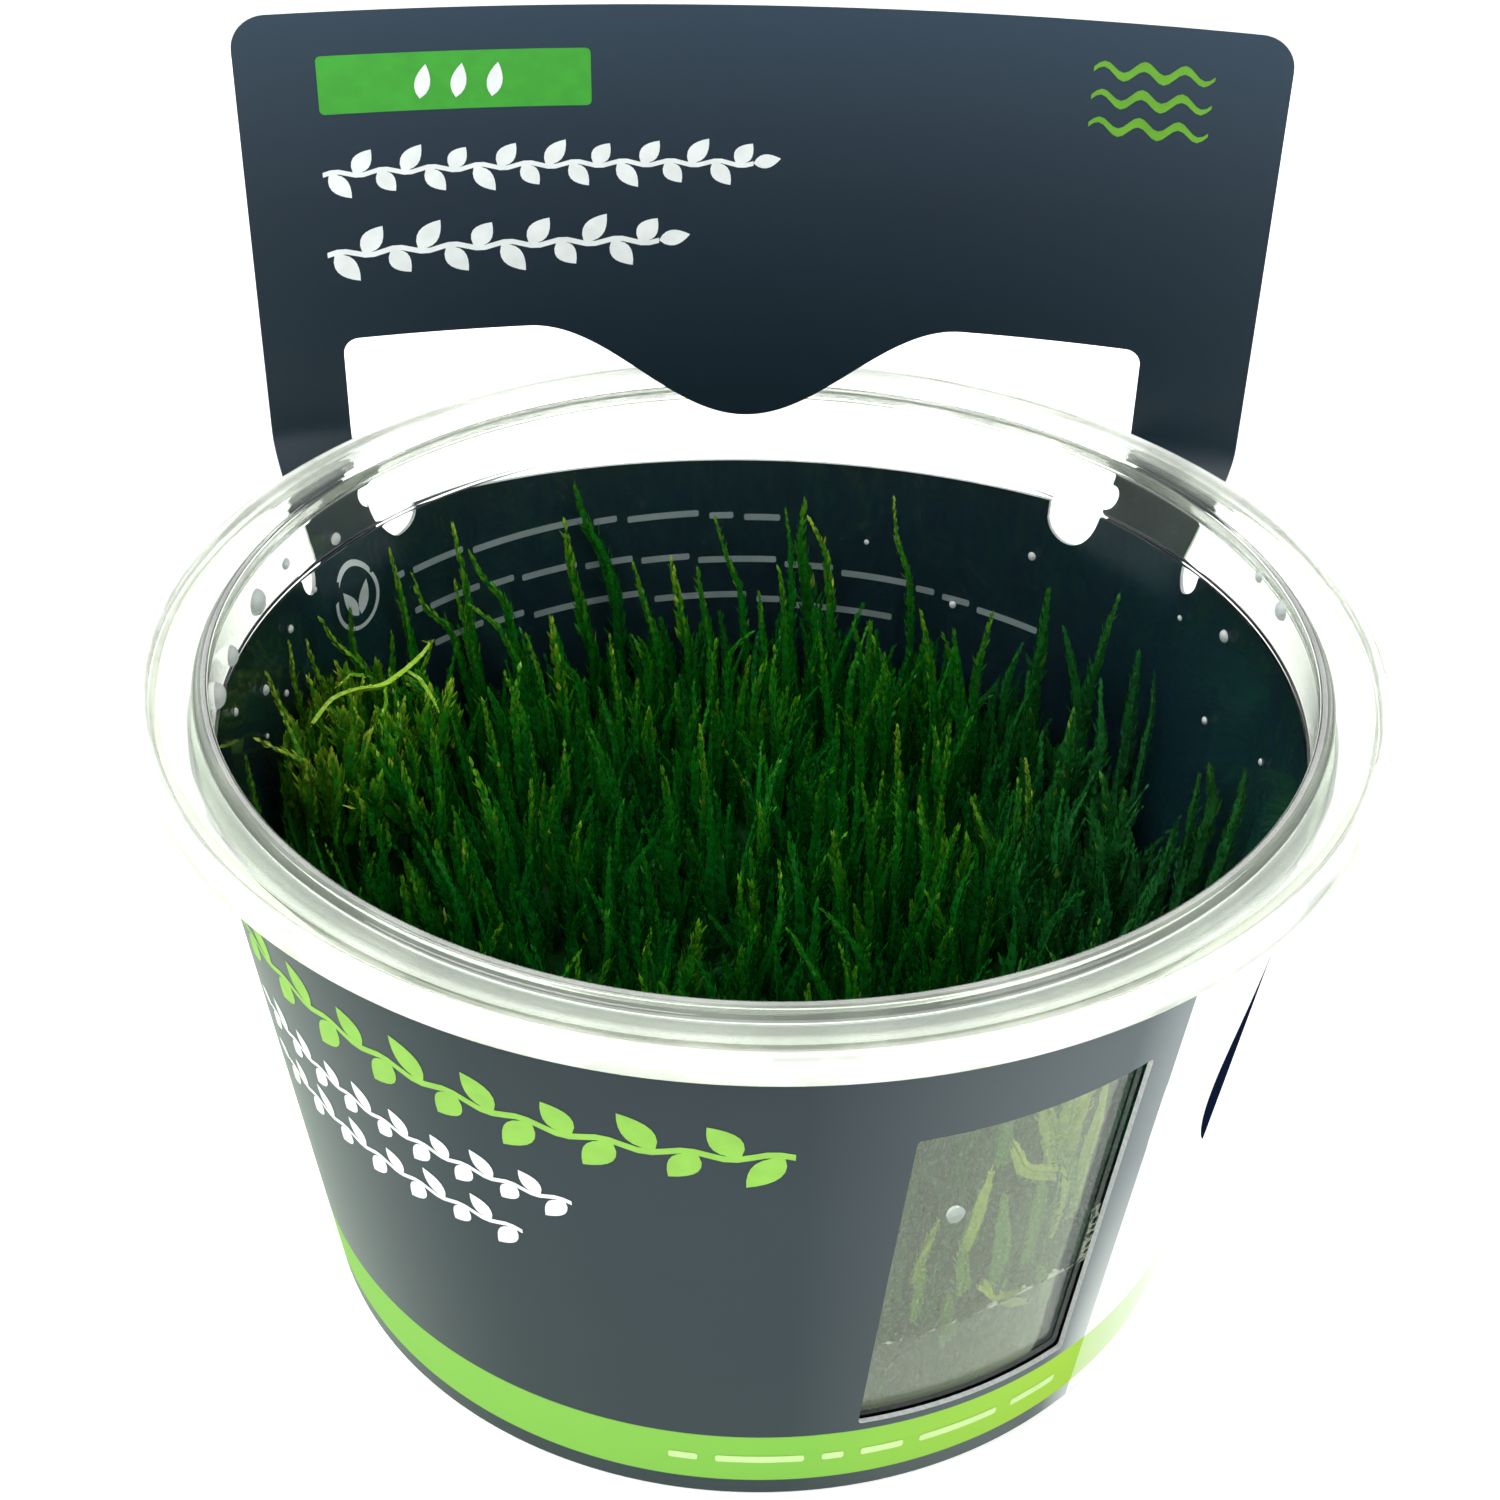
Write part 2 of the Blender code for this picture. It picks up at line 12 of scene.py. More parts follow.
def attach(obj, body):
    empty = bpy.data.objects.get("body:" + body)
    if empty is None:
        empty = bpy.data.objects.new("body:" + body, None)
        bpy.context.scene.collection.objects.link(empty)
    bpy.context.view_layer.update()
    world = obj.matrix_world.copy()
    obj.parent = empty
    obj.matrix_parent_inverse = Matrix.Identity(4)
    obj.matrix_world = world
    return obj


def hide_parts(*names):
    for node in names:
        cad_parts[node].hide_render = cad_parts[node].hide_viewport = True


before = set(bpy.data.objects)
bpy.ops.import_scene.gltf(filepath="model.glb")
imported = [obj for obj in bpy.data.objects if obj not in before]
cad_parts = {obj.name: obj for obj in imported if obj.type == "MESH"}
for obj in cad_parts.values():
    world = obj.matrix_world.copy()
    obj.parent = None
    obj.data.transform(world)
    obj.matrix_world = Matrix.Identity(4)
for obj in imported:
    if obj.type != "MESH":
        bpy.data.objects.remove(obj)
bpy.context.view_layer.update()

# Spiky moss on gel in a clear culture cup, with its printed card sleeve and header.
# Shapes are worked out in millimetres and turned into metres when a mesh is made.
# The frame is the CAD's: z = 0 under the cup, its axis on Z, the header on the +Y side.
# Angles round the cup are in degrees from the back, +Y, towards +X.

print("frame loaded")

mm = 0.001


def hexColour(code):
    # sRGB hex to the linear colour that shaders take
    channels = [int(code[i:i + 2], 16) / 255.0 for i in (1, 3, 5)]
    linear = [c / 12.92 if c <= 0.04045 else ((c + 0.055) / 1.055) ** 2.4 for c in channels]
    return (*linear, 1.0)


def feed(tree, node, inputs):
    # a socket takes a number, a hex colour, an output, or a node, which stands for its first output
    for key, value in inputs.items():
        if isinstance(value, bpy.types.Node):
            value = next(output for output in value.outputs if output.enabled)
        if isinstance(value, bpy.types.NodeSocket):
            tree.links.new(value, node.inputs[key])
        else:
            node.inputs[key].default_value = hexColour(value) if isinstance(value, str) else value


def addNode(tree, kind, inputs=(), stops=(), **settings):
    # kind may end in an operation, as in "Math SINE"; inputs are a list in the sockets' order or go by
    # name or number; stops are a ramp's places and colours
    kind, _, operation = kind.partition(" ")
    node = tree.nodes.new("ShaderNode" + kind)
    if operation:
        node.operation = operation
    for key, value in settings.items():
        setattr(node, key, value)
    feed(tree, node, inputs if isinstance(inputs, dict) else dict(enumerate(inputs)))
    if stops:
        bands = node.color_ramp.elements
        while len(bands) < len(stops):
            bands.new(0.5)
        for band, (place, code) in zip(bands, stops):
            band.position, band.color = place, hexColour(code)
    return node


def newMaterial(name, settings):
    # the material, what adds nodes to its tree, and what feeds its shader
    made = bpy.data.materials.new(name)
    made.use_nodes = True
    use = partial(feed, made.node_tree, made.node_tree.nodes["Principled BSDF"])
    use(settings)
    return made, partial(addNode, made.node_tree), use


def between(add, value, low, high, soft):
    # 1 where value lies between low and high, with edges soft wide
    rise = add("MapRange", [value, low - soft, low + soft])
    return add("Math MULTIPLY", [rise, add("MapRange", [value, high - soft, high + soft, 1.0, 0.0])])


def newObject(name, data):
    made = bpy.data.objects.new(name, data)
    bpy.context.scene.collection.objects.link(made)
    return made


def makePiece(name, points, faces, materials, node=None, kinds=None, smoothAngle=0.0, weld=0.0):
    # one mesh piece from points in millimetres, riding on the fixed body; kinds are the faces' materials
    mesh = bpy.data.meshes.new(name)
    mesh.from_pydata((np.asarray(points, dtype=float) * mm).tolist(), [], faces)
    for surface in materials:
        mesh.materials.append(surface)
    if kinds is not None:
        mesh.polygons.foreach_set("material_index", kinds)
    if weld:
        shape = bmesh.new()
        shape.from_mesh(mesh)
        bmesh.ops.remove_doubles(shape, verts=shape.verts, dist=weld * mm)
        bmesh.ops.recalc_face_normals(shape, faces=shape.faces)
        shape.to_mesh(mesh)
        shape.free()
    if smoothAngle:
        mesh.shade_smooth()
        mesh.set_sharp_from_angle(angle=math.radians(smoothAngle))
    piece = newObject(name, mesh)
    if node:
        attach(piece, "root")
        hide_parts(node)
    return piece


def arc(centre, wide, first, last, count, high=None):
    # points of a circle, or of an ellipse if high is given, between two angles in degrees
    turns = [math.radians(first + (last - first) * i / count) for i in range(count + 1)]
    high = wide if high is None else high
    return [(centre[0] + wide * math.cos(t), centre[1] + high * math.sin(t)) for t in turns]


def ring(radius, z, segments):
    turns = [2.0 * math.pi * i / segments for i in range(segments)]
    return [(radius * math.sin(t), radius * math.cos(t), z) for t in turns]


def ringFaces(levels, segments, upward):
    # closes a stack of rings and the two end points that follow them; upward means lowest ring first
    faces = []
    low, last = levels * segments, (levels - 1) * segments
    for i in range(segments):
        j = (i + 1) % segments
        faces += [(low, i, j), (low + 1, last + j, last + i)]
        faces += [(a + i, a + segments + i, a + segments + j, a + j) for a in range(0, last, segments)]
    return faces if upward else [(face[0], *face[:0:-1]) for face in faces]


# Camera: where the photo was taken from, about 250 mm away and 35 degrees down
cameraSettings = {
    "place": (2.996, -184.088, 178.028),   # mm
    "yaw": -1.241,
    "pitch": 35.318,
    "roll": -1.34,
    "lens": 64.8,
    "sensor": 36.0,
    "clipStart": 0.01,     # m
}


def addCamera():
    yaw, pitch, roll = (math.radians(cameraSettings[key]) for key in ("yaw", "pitch", "roll"))
    ahead = Vector((math.sin(yaw) * math.cos(pitch), math.cos(yaw) * math.cos(pitch), -math.sin(pitch)))
    level = Vector((math.cos(yaw), -math.sin(yaw), 0.0))
    down = ahead.cross(level)
    right = math.cos(roll) * level + math.sin(roll) * down
    up = math.sin(roll) * level - math.cos(roll) * down
    data = bpy.data.cameras.new("camera")
    data.lens = cameraSettings["lens"]
    data.sensor_width = cameraSettings["sensor"]
    data.clip_start = cameraSettings["clipStart"]
    camera = newObject("camera", data)
    turn = Matrix((right, up, -ahead)).transposed().to_4x4()
    camera.matrix_world = Matrix.Translation([v * mm for v in cameraSettings["place"]]) @ turn
    bpy.context.scene.camera = camera


addCamera()
print("camera placed")


# Cup: clear polystyrene, injection moulded, so it is glossy, thin and almost colourless
cup = {
    "segments": 224,
    "height": 58.47,
    "taper": 0.145,        # growth of the radius per mm of height
    "outerFoot": 37.9,     # radius of the outer wall, carried down to z = 0
    "innerFoot": 36.85,
    "stepHeight": 52.35,   # ledge where the taper turns into the straight collar
    "collarOuter": 45.5,
    "collarInner": 44.6,
    "flangeTop": 57.8,
    "flangeUnder": 57.0,
    "flangeOuter": 50.5,
    "skirtLower": 55.6,
    "rimmed": 44.0,        # radius from which the rim's hazy surface, with its painted light bands, starts
    "ior": 1.59,
    "roughness": 0.02,
    "tint": "#fbfefd",
    "flow": (330.0, 0.02, 0.0002),    # flow lines: scale per m, strength, depth in m
    "rimTint": "#f7fbf4",
    # painted reflections and light on the rim: grey-green and white bands from the collar to the outer edge,
    # and where they start and end, in m
    "paintedRimBands": [(0.0, "#dfe6da"), (0.12, "#e9f2e4"), (0.32, "#9fae9c"), (0.45, "#bcc8b7"), (0.58, "#e2eadc"),
                 (0.64, "#ccd4c1"), (0.75, "#e6ecdd"), (1.0, "#fbfdf8")],
    "toneRadii": (0.0445, 0.0505),
    "paintedBandsFront": (0.03, -0.02, 0.25, 1.0),      # y from, to, then share of the tones there
    "haze": (0.0462, 0.0500, 0.03, 0.45),       # radius from, to, then share of light scattered
    "paintedFrontLight": (0.02, -0.012, 0.0, 0.15),          # y from, to, then least share: extra haze at the front, painted light that whitens the front rim
    "paintedSkirtLight": (0.0485, 0.0502, 1.0, 5.0),    # radius from, to, then times as much of it
    "scuffs": (0.38, 0.62, 0.7, 1.25),          # unevenness of the haze
    "ringPitch": 0.0009,   # m
    "ringDepth": 0.0000035,
    "ringShare": 0.25,
}


def outerWall(z):
    return cup["outerFoot"] + cup["taper"] * z


def innerWall(z):
    return cup["innerFoot"] + cup["taper"] * z


def cupProfile():
    # radius and height, from the middle of the underside up the outside and down the inside
    top, under, skirt = cup["flangeTop"], cup["flangeUnder"], cup["skirtLower"]
    rim, step = cup["height"], cup["stepHeight"]
    outer, inner, edge = cup["collarOuter"], cup["collarInner"], cup["flangeOuter"]
    return [
        (0.0, 0.0), (30.0, 0.0), (36.6, 0.0), *arc((37.0, 0.9), 0.9, -90, -8, 5),
        *((outerWall(z), z) for z in (2.0, 12.0, 24.0, 36.0, 46.0, 51.0)),
        (outerWall(step - 0.35), step - 0.35), (outer - 0.03, step), (outer, step + 0.3),
        (outer, 54.5), (outer, under - 0.4), *arc((outer + 0.4, under - 0.4), 0.4, 180, 90, 4),
        (edge - 1.35, under), *arc((edge - 1.35, under - 0.3), 0.3, 90, 12, 3),
        (edge - 0.85, skirt + 0.15), *arc((edge - 0.5, skirt + 0.3), 0.3, 200, 350, 5),
        (edge, top - 0.5), *arc((edge - 0.7, top - 0.3), 0.7, 8, 130, 8),
        (edge - 1.5, top), (edge - 2.6, top - 0.04), (outer + 1.6, top - 0.05),
        *arc((outer + 0.45, top + 0.35), 0.38, 270, 200, 4),
        *arc((outer - 0.3, rim - 0.3), 0.27, 0, 90, 4),
        *arc((inner + 0.22, rim - 0.22), 0.22, 90, 180, 4),
        (inner, 57.2), (inner, 55.0), (inner, step + 0.4), *arc((inner - 0.3, step + 0.4), 0.3, 0, -60, 3),
        *arc((innerWall(step - 0.2) + 0.18, step - 0.3), 0.18, 110, 180, 3),
        *((innerWall(z), z) for z in (51.0, 46.0, 36.0, 24.0, 12.0, 3.0)),
        *arc((innerWall(2.6) - 1.6, 2.6), 1.6, 0, -90, 6), (30.0, 1.0), (0.0, 1.0),
    ]


def spun(profile, segments):
    points = [point for radius, z in profile[1:-1] for point in ring(radius, z, segments)]
    points += [(0.0, 0.0, profile[0][1]), (0.0, 0.0, profile[-1][1])]
    return np.array(points), ringFaces(len(profile) - 2, segments, True)


def clearPolystyrene(name, tint, hazedWithPaintedLight):
    made, add, use = newMaterial(name, {
        "Base Color": tint, "Roughness": cup["roughness"], "IOR": cup["ior"], "Transmission Weight": 1.0})
    # flow lines from the mould, about 3 mm apart, too shallow to see except in reflections
    place = add("TexCoord").outputs["Object"]
    scale, strength, depth = cup["flow"]
    waves = add("TexNoise", {"Vector": place, "Scale": scale, "Detail": 1.0})
    normal = add("Bump", {"Strength": strength, "Distance": depth, "Height": waves})
    if hazedWithPaintedLight:
        # scuffed from stacking: the haze grows from the collar to the outer edge, in rings left by turning
        radius = add("VectorMath LENGTH", [add("VectorMath MULTIPLY", [place, (1.0, 1.0, 0.0)])])
        ahead = add("SeparateXYZ", [place]).outputs["Y"]
        rings = add("Math SINE", [add("Math MULTIPLY", [radius, 2.0 * math.pi / cup["ringPitch"]])])
        scuffs = add("TexNoise", {"Vector": place, "Scale": 150.0, "Detail": 3.0})
        # painted light: extra haze at the front, most of all on the outer skirt, whitens the front rim over
        # the real haze
        paintedFrontLight = add("Math MULTIPLY", [add("MapRange", [ahead, *cup["paintedFrontLight"]]),
                                     add("MapRange", [radius, *cup["paintedSkirtLight"]])])
        haze = add("Math MAXIMUM", [add("MapRange", [radius, *cup["haze"]]), paintedFrontLight])
        haze = add("Math MULTIPLY", [haze, add("MapRange", [scuffs, *cup["scuffs"]])])
        haze = add("Math MULTIPLY", [haze, add("Math MULTIPLY_ADD", [rings, cup["ringShare"], 1.0])])
        # painted reflections and light: grey-green and white bands across the rim, full at the front and
        # faint behind
        paintedRimBandColour = add("ValToRGB", [add("MapRange", [radius, *cup["toneRadii"]])], cup["paintedRimBands"])
        front = add("MapRange", [ahead, *cup["paintedBandsFront"]])
        use({"Transmission Weight": add("Math SUBTRACT", [1.0, haze]),
             "Base Color": add("Mix", {0: front, 6: tint, 7: paintedRimBandColour}, data_type="RGBA")})
        normal = add("Bump", {"Strength": 1.0, "Distance": cup["ringDepth"],
                              "Height": rings, "Normal": normal})
    use({"Normal": normal})
    return made


def rimFaces(points, faces):
    # 1 for faces of the collar and the flange, 0 for the bowl below them
    radius = np.hypot(points[:, 0], points[:, 1])
    rimmed = (points[:, 2] > cup["stepHeight"] + 0.2) & (radius > cup["rimmed"])
    return [int(rimmed[list(face)].all()) for face in faces]


# Drops on the wall, where the moss breathes out: angle, height and width in mm
drops = {
    "flatness": 0.42,
    "levels": 6,
    "sides": 14,
    "sag": 1.25,           # how much longer they are downwards
    "places": ((-78.0, 54.7, 2.2), (-87.0, 53.7, 1.7), (-95.5, 54.2, 2.1), (-70.5, 55.1, 1.0),
               (-80.5, 47.0, 0.9), (-60.7, 53.6, 1.1), (24.4, 38.4, 0.7), (34.3, 45.8, 0.8),
               (66.4, 49.3, 1.1), (67.2, 40.9, 0.7), (77.0, 56.9, 1.6), (70.5, 57.2, 1.0),
               (-66.0, 50.6, 0.6), (-72.0, 49.2, 0.7), (-83.0, 43.5, 0.5), (-76.0, 44.5, 0.6),
               (-90.0, 49.6, 0.7), (82.0, 44.0, 0.6), (58.0, 47.5, 0.5), (12.0, 43.0, 0.5),
               (157.7, 33.6, 1.5)),
}


def dropShapes():
    # flattened domes that follow the inner wall
    levels, sides = drops["levels"], drops["sides"]
    points, faces = [], []
    for degrees, z, width in drops["places"]:
        turn = math.radians(degrees)
        wall = cup["collarInner"] if z > cup["stepHeight"] + 0.5 else innerWall(z)
        inward = Vector((-math.sin(turn), -math.cos(turn), 0.0))
        aside = Vector((math.cos(turn), -math.sin(turn), 0.0))
        spot = Vector((wall * math.sin(turn), wall * math.cos(turn), z)) + inward * 0.02
        faces += [tuple(len(points) + i for i in face) for face in ringFaces(levels, sides, False)]
        for level in range(levels):
            rise = 0.5 * math.pi * level / levels
            for side in range(sides):
                around = 2.0 * math.pi * side / sides
                reach = 0.5 * width * math.cos(rise)
                down = drops["sag"] if math.sin(around) < 0.0 else 1.0
                curve = (reach * math.cos(around)) ** 2 / (2.0 * wall)
                points.append(spot + aside * reach * math.cos(around)
                              + Vector((0.0, 0.0, 1.0)) * reach * down * math.sin(around)
                              + inward * (drops["flatness"] * width * math.sin(rise) + curve))
        points += [spot, spot + inward * drops["flatness"] * width]
    return points, faces


clearPlastic = clearPolystyrene("clear moulded polystyrene", cup["tint"], False)
paintedLightRimPlastic = clearPolystyrene("hazy polystyrene rim with painted light bands", cup["rimTint"], True)
cupPoints, cupFaces = spun(cupProfile(), cup["segments"])
makePiece("cup_shell", cupPoints, cupFaces, [clearPlastic, paintedLightRimPlastic], "cup",
          rimFaces(cupPoints, cupFaces), 48.0)
# painted highlight: the clear water is given a share of white diffuse colour, so the drops look light as
# their glints do
water, *_ = newMaterial("condensed water", {
    "Base Color": "#f2f7f5", "Roughness": 0.03, "IOR": 1.333, "Transmission Weight": 0.6})
makePiece("wall_drops", *dropShapes(), [water], "cup", smoothAngle=60.0, weld=0.0005)
print("cup turned")


# Card: coated board, die cut and printed on both sides; the header is part of the same sheet.
# On the flat sheet s runs along the card from the header's centre line, and z is the height.
card = {
    "thickness": 0.42,
    "gap": 0.15,           # to the cup's wall
    "lower": 0.3,
    "turn": 1.2877,        # degrees round the cup per mm along the flat card
    "shift": -4.35,        # angle of the header's centre line
    "column": 1.5,         # degrees between columns of points
    "seamRows": (8.0, 16.0, 24.0, 32.0, 40.0, 46.0),
    "top": 96.7,
    "half": 45.3,
    "corner": 3.0,
    "front": 43.0,         # y of the header at bendHeight
    "middleX": -2.0,
    "lean": -0.066,
    "twist": 0.031,
    "bend": 130.0,         # radius at bendHeight, and its growth per mm above it
    "bendGrowth": 1.665,
    "bendHeight": 60.0,
    "openLeft": -38.1,
    "openRight": 35.4,
    "openTop": 65.9,
    "openCorner": 1.4,
    "tongueMiddle": -1.2,
    "tongueHalf": 20.0,
    "tongueDrop": 10.0,
    "flareStart": 46.8,    # the straps leave the sleeve here and are on the header's surface at flareEnd
    "flareEnd": 57.5,
    "flareSide": 4.8,
    "restStart": 52.4,     # the same for the sheet between and beside them
    "restEnd": 55.4,
    "outerNotches": ((-3.2, 49.4, 2.2), (3.4, 49.1, 2.4)),      # width beyond the header, bottom, depth
    "innerNotches": ((-47.0, 49.9, 2.0), (34.9, 47.7, 2.4)),    # angle of the far side, bottom, depth
    "windowHeights": (9.3, 44.6),
    "windowLowerAngles": (138.2, 165.8),
    "windowUpperAngles": (137.8, 163.8),
    "windowCorner": 0.4,
}


def smoothStep(t):
    t = min(1.0, max(0.0, t))
    return t * t * (3.0 - 2.0 * t)


def flare(s, z):
    # 0 on the sleeve, 1 on the header
    if card["openLeft"] < s < card["openRight"]:
        beside = min(s - card["openLeft"], card["openRight"] - s)
    else:
        beside = max(0.0, abs(s) - card["half"])
    side = card["flareSide"]
    start = card["flareStart"] + (card["restStart"] - card["flareStart"]) * smoothStep(beside / side)
    end = card["flareEnd"] if beside < side else card["restEnd"]
    return smoothStep((z - start) / (end - start))


def cardPoint(s, z):
    # the face towards the cup, which is also the header's front
    share = flare(s, z)
    turn = math.radians(card["turn"] * s + card["shift"])
    radius = outerWall(z) + card["gap"]
    onSleeve = Vector((radius * math.sin(turn), radius * math.cos(turn), z))
    above = z - card["bendHeight"]
    radius = card["bend"] + card["bendGrowth"] * above
    aside = radius * math.sin(s / radius)
    y = card["front"] + card["lean"] * above + card["twist"] * aside
    onHeader = Vector((card["middleX"] + aside, y - radius * (1.0 - math.cos(s / radius)), z))
    if share <= 0.0:
        return onSleeve
    return onHeader if share >= 1.0 else onSleeve.lerp(onHeader, share)


def cardNormal(s, z, step=0.02):
    side = step if s <= 0.0 else -step
    across = (cardPoint(s + side, z) - cardPoint(s, z)) * (1.0 if side > 0 else -1.0)
    upward = cardPoint(s, z + step) - cardPoint(s, z - step)
    return upward.cross(across).normalized()


def atAngle(degrees):
    return (degrees - card["shift"]) / card["turn"]


def along(start, end, step):
    # points from start up to, but not including, end
    count = max(1, math.ceil(math.dist(start, end) / step))
    return [(start[0] + (end[0] - start[0]) * i / count, start[1] + (end[1] - start[1]) * i / count)
            for i in range(count)]


def notch(left, right, bottom, depth):
    half = (right - left) / 2.0
    rise = min(half, depth)
    return arc(((left + right) / 2.0, bottom + rise), half, 180.0, 360.0, 14, rise)


def freeEdge(degrees):
    # height of the sleeve's upper edge, which dips behind the cup
    if abs(degrees) < 50.0:
        return 50.0 + 1.25 * (degrees / 35.0) ** 2
    return 51.6 + 0.5 * math.sin(math.radians(max(0.0, abs(degrees) - 60.0) * 0.75))


def columnsIn(first, last):
    low = math.ceil((first + 0.4) / card["column"])
    high = math.floor((last - 0.4) / card["column"])
    return [card["column"] * i for i in range(low, high + 1)]


def edgeRun(first, last):
    return [(atAngle(a), freeEdge(a)) for a in [first, *columnsIn(first, last), last]]


def cardOutline():
    # anticlockwise from the foot of the seam; the points are close where the sheet bends most
    seamLeft, seamRight = atAngle(-180.0), atAngle(180.0)
    half, corner, top, lower = card["half"], card["corner"], card["top"], card["lower"]
    (leftBeyond, *leftNotch), (rightBeyond, *rightNotch) = card["outerNotches"]
    left, right = -half + leftBeyond, half + rightBeyond
    return [
        (seamLeft, lower), *((atAngle(a), lower) for a in columnsIn(-180.0, 180.0)),
        (seamRight, lower), *((seamRight, z) for z in card["seamRows"]),
        *reversed(edgeRun(card["turn"] * right + card["shift"], 180.0)),
        *reversed(notch(half, right, *rightNotch)),
        *along((half, 52.3), (half, 58.0), 0.5), *along((half, 58.0), (half, top - corner), 3.0),
        *arc((half - corner, top - corner), corner, 0, 90, 10),
        *along((half - corner, top), (corner - half, top), 2.5)[1:],
        *arc((corner - half, top - corner), corner, 90, 180, 10),
        *along((-half, top - corner), (-half, 58.0), 3.0)[1:], *along((-half, 58.0), (-half, 52.3), 0.5),
        *reversed(notch(left, -half, *leftNotch)),
        *reversed(edgeRun(-180.0, card["turn"] * left + card["shift"])),
        *((seamLeft, z) for z in reversed(card["seamRows"])),
    ]


def headerOpening():
    left, right, top, r = card["openLeft"], card["openRight"], card["openTop"], card["openCorner"]
    middle, half, drop = card["tongueMiddle"], card["tongueHalf"], card["tongueDrop"]
    (leftAngle, *leftNotch), (rightAngle, *rightNotch) = card["innerNotches"]
    tongue = [middle + half - 2.0 * half * i / 64 for i in range(65)]
    return [
        *notch(left, atAngle(leftAngle), *leftNotch)[:-1], *edgeRun(leftAngle, rightAngle),
        *notch(atAngle(rightAngle), right, *rightNotch)[1:], *arc((right, 52.2), 1.0, -90, 90, 10, 0.9),
        *along((right, 53.1), (right, 57.2), 0.5)[1:], *along((right, 57.2), (right, top - r), 1.5),
        *arc((right - r, top - r), r, 0, 90, 7), *along((right - r, top), (middle + half, top), 2.0)[1:],
        *((s, top - drop * 0.5 * (1.0 + math.cos(math.pi * (s - middle) / half))) for s in tongue),
        *along((middle - half, top), (left + r, top), 2.0)[1:], *arc((left + r, top - r), r, 90, 180, 7),
        *along((left, top - r), (left, 57.2), 1.5)[1:], *along((left, 57.2), (left, 53.1), 0.5),
        *arc((left, 52.4), 0.9, 90, 270, 10, 0.7),
    ]


def sleeveWindow():
    lower = [atAngle(a) for a in card["windowLowerAngles"]]
    upper = [atAngle(a) for a in card["windowUpperAngles"]]
    (low, high), r = card["windowHeights"], card["windowCorner"]
    return [
        *arc((lower[0] + r, low + r), r, 180, 270, 5),
        *((atAngle(a), low) for a in columnsIn(*card["windowLowerAngles"])[1:-1]),
        *arc((lower[1] - r, low + r), r, 270, 360, 5),
        *along((lower[1], low + r), (upper[1], high - r), 3.0)[1:],
        *arc((upper[1] - r, high - r), r, 0, 90, 5),
        *((atAngle(a), high) for a in columnsIn(*card["windowUpperAngles"])[-2:0:-1]),
        *arc((upper[0] + r, high - r), r, 90, 180, 5),
        *along((upper[0], high - r), (lower[0], low + r), 3.0)[1:],
    ]


def inside(point, loop):
    x, y = point
    found = False
    for (x1, y1), (x2, y2) in zip(loop, loop[1:] + loop[:1]):
        if (y1 > y) != (y2 > y) and x < (x2 - x1) * (y - y1) / (y2 - y1) + x1:
            found = not found
    return found


def cardGrid(loops):
    # places inside the sheet that let it follow its bends, with how far each keeps from an edge
    places = [(atAngle(a), z, 1.0) for a in columnsIn(-180.0, 180.0) for z in card["seamRows"]]
    for strap in (-43.5, -41.7, -39.9, 37.0, 38.7, 40.4, 42.1, 43.8):
        places += [(strap, 45.4 + 0.6 * i, 0.4) for i in range(23)]
    for side in (-36.6, -35.0, -46.6, -48.2, 32.0, 33.8, 46.6, 48.4):
        places += [(side, 44.8 + 0.9 * i, 0.5) for i in range(6)]
    places += [(3.0 * column, 68.0 + 4.0 * i, 1.2) for column in range(-15, 16) for i in range(8)]
    places += [(card["tongueMiddle"] + 2.0 * column, 58.5 + 2.2 * i, 0.9)
               for column in range(-6, 7) for i in range(4)]
    corners = np.array([corner for loop in loops for corner in loop])
    return [(s, z) for s, z, margin in places
            if np.hypot(corners[:, 0] - s, corners[:, 1] - z).min() > margin
            and inside((s, z), loops[0]) and not any(inside((s, z), hole) for hole in loops[1:])]


def cutSheet(loops, extra=()):
    # triangles of the area inside the first loop and outside the others
    flat, edges = [], []
    for loop in loops:
        first = len(flat)
        flat += loop
        edges += [(first + i, first + (i + 1) % len(loop)) for i in range(len(loop))]
    flat += extra
    spots, _, triangles, *_ = delaunay_2d_cdt([Vector(p) for p in flat], edges, [], 1, 1e-5)
    kept = []
    for triangle in triangles:
        middle = sum((spots[i] for i in triangle), Vector((0.0, 0.0))) / len(triangle)
        if not any(inside(middle, hole) for hole in loops[1:]):
            kept.append(tuple(triangle))
    return spots, kept


def cardBody():
    # both faces of the sheet, joined along every cut edge: 0 inner face, 1 outer face, 2 cut edge
    loops = [cardOutline(), headerOpening(), sleeveWindow()]
    spots, kept = cutSheet(loops, cardGrid(loops))
    innerSide = [cardPoint(*p) for p in spots]
    outerSide = [q + cardNormal(*p) * card["thickness"] for p, q in zip(spots, innerSide)]
    count = len(spots)
    faces = [t[::-1] for t in kept] + [tuple(i + count for i in t) for t in kept]
    kinds = [0] * len(kept) + [1] * len(kept)
    used = {pair for t in kept for pair in zip(t, t[1:] + t[:1])}
    seam = {i for i, p in enumerate(spots)
            if abs(abs(p[0] * card["turn"] + card["shift"]) - 180.0) < 1e-3}
    for a, b in used:
        if (b, a) not in used and not (a in seam and b in seam):
            faces.append((a, b, b + count, a + count))
            kinds.append(2)
    return innerSide + outerSide, faces, kinds


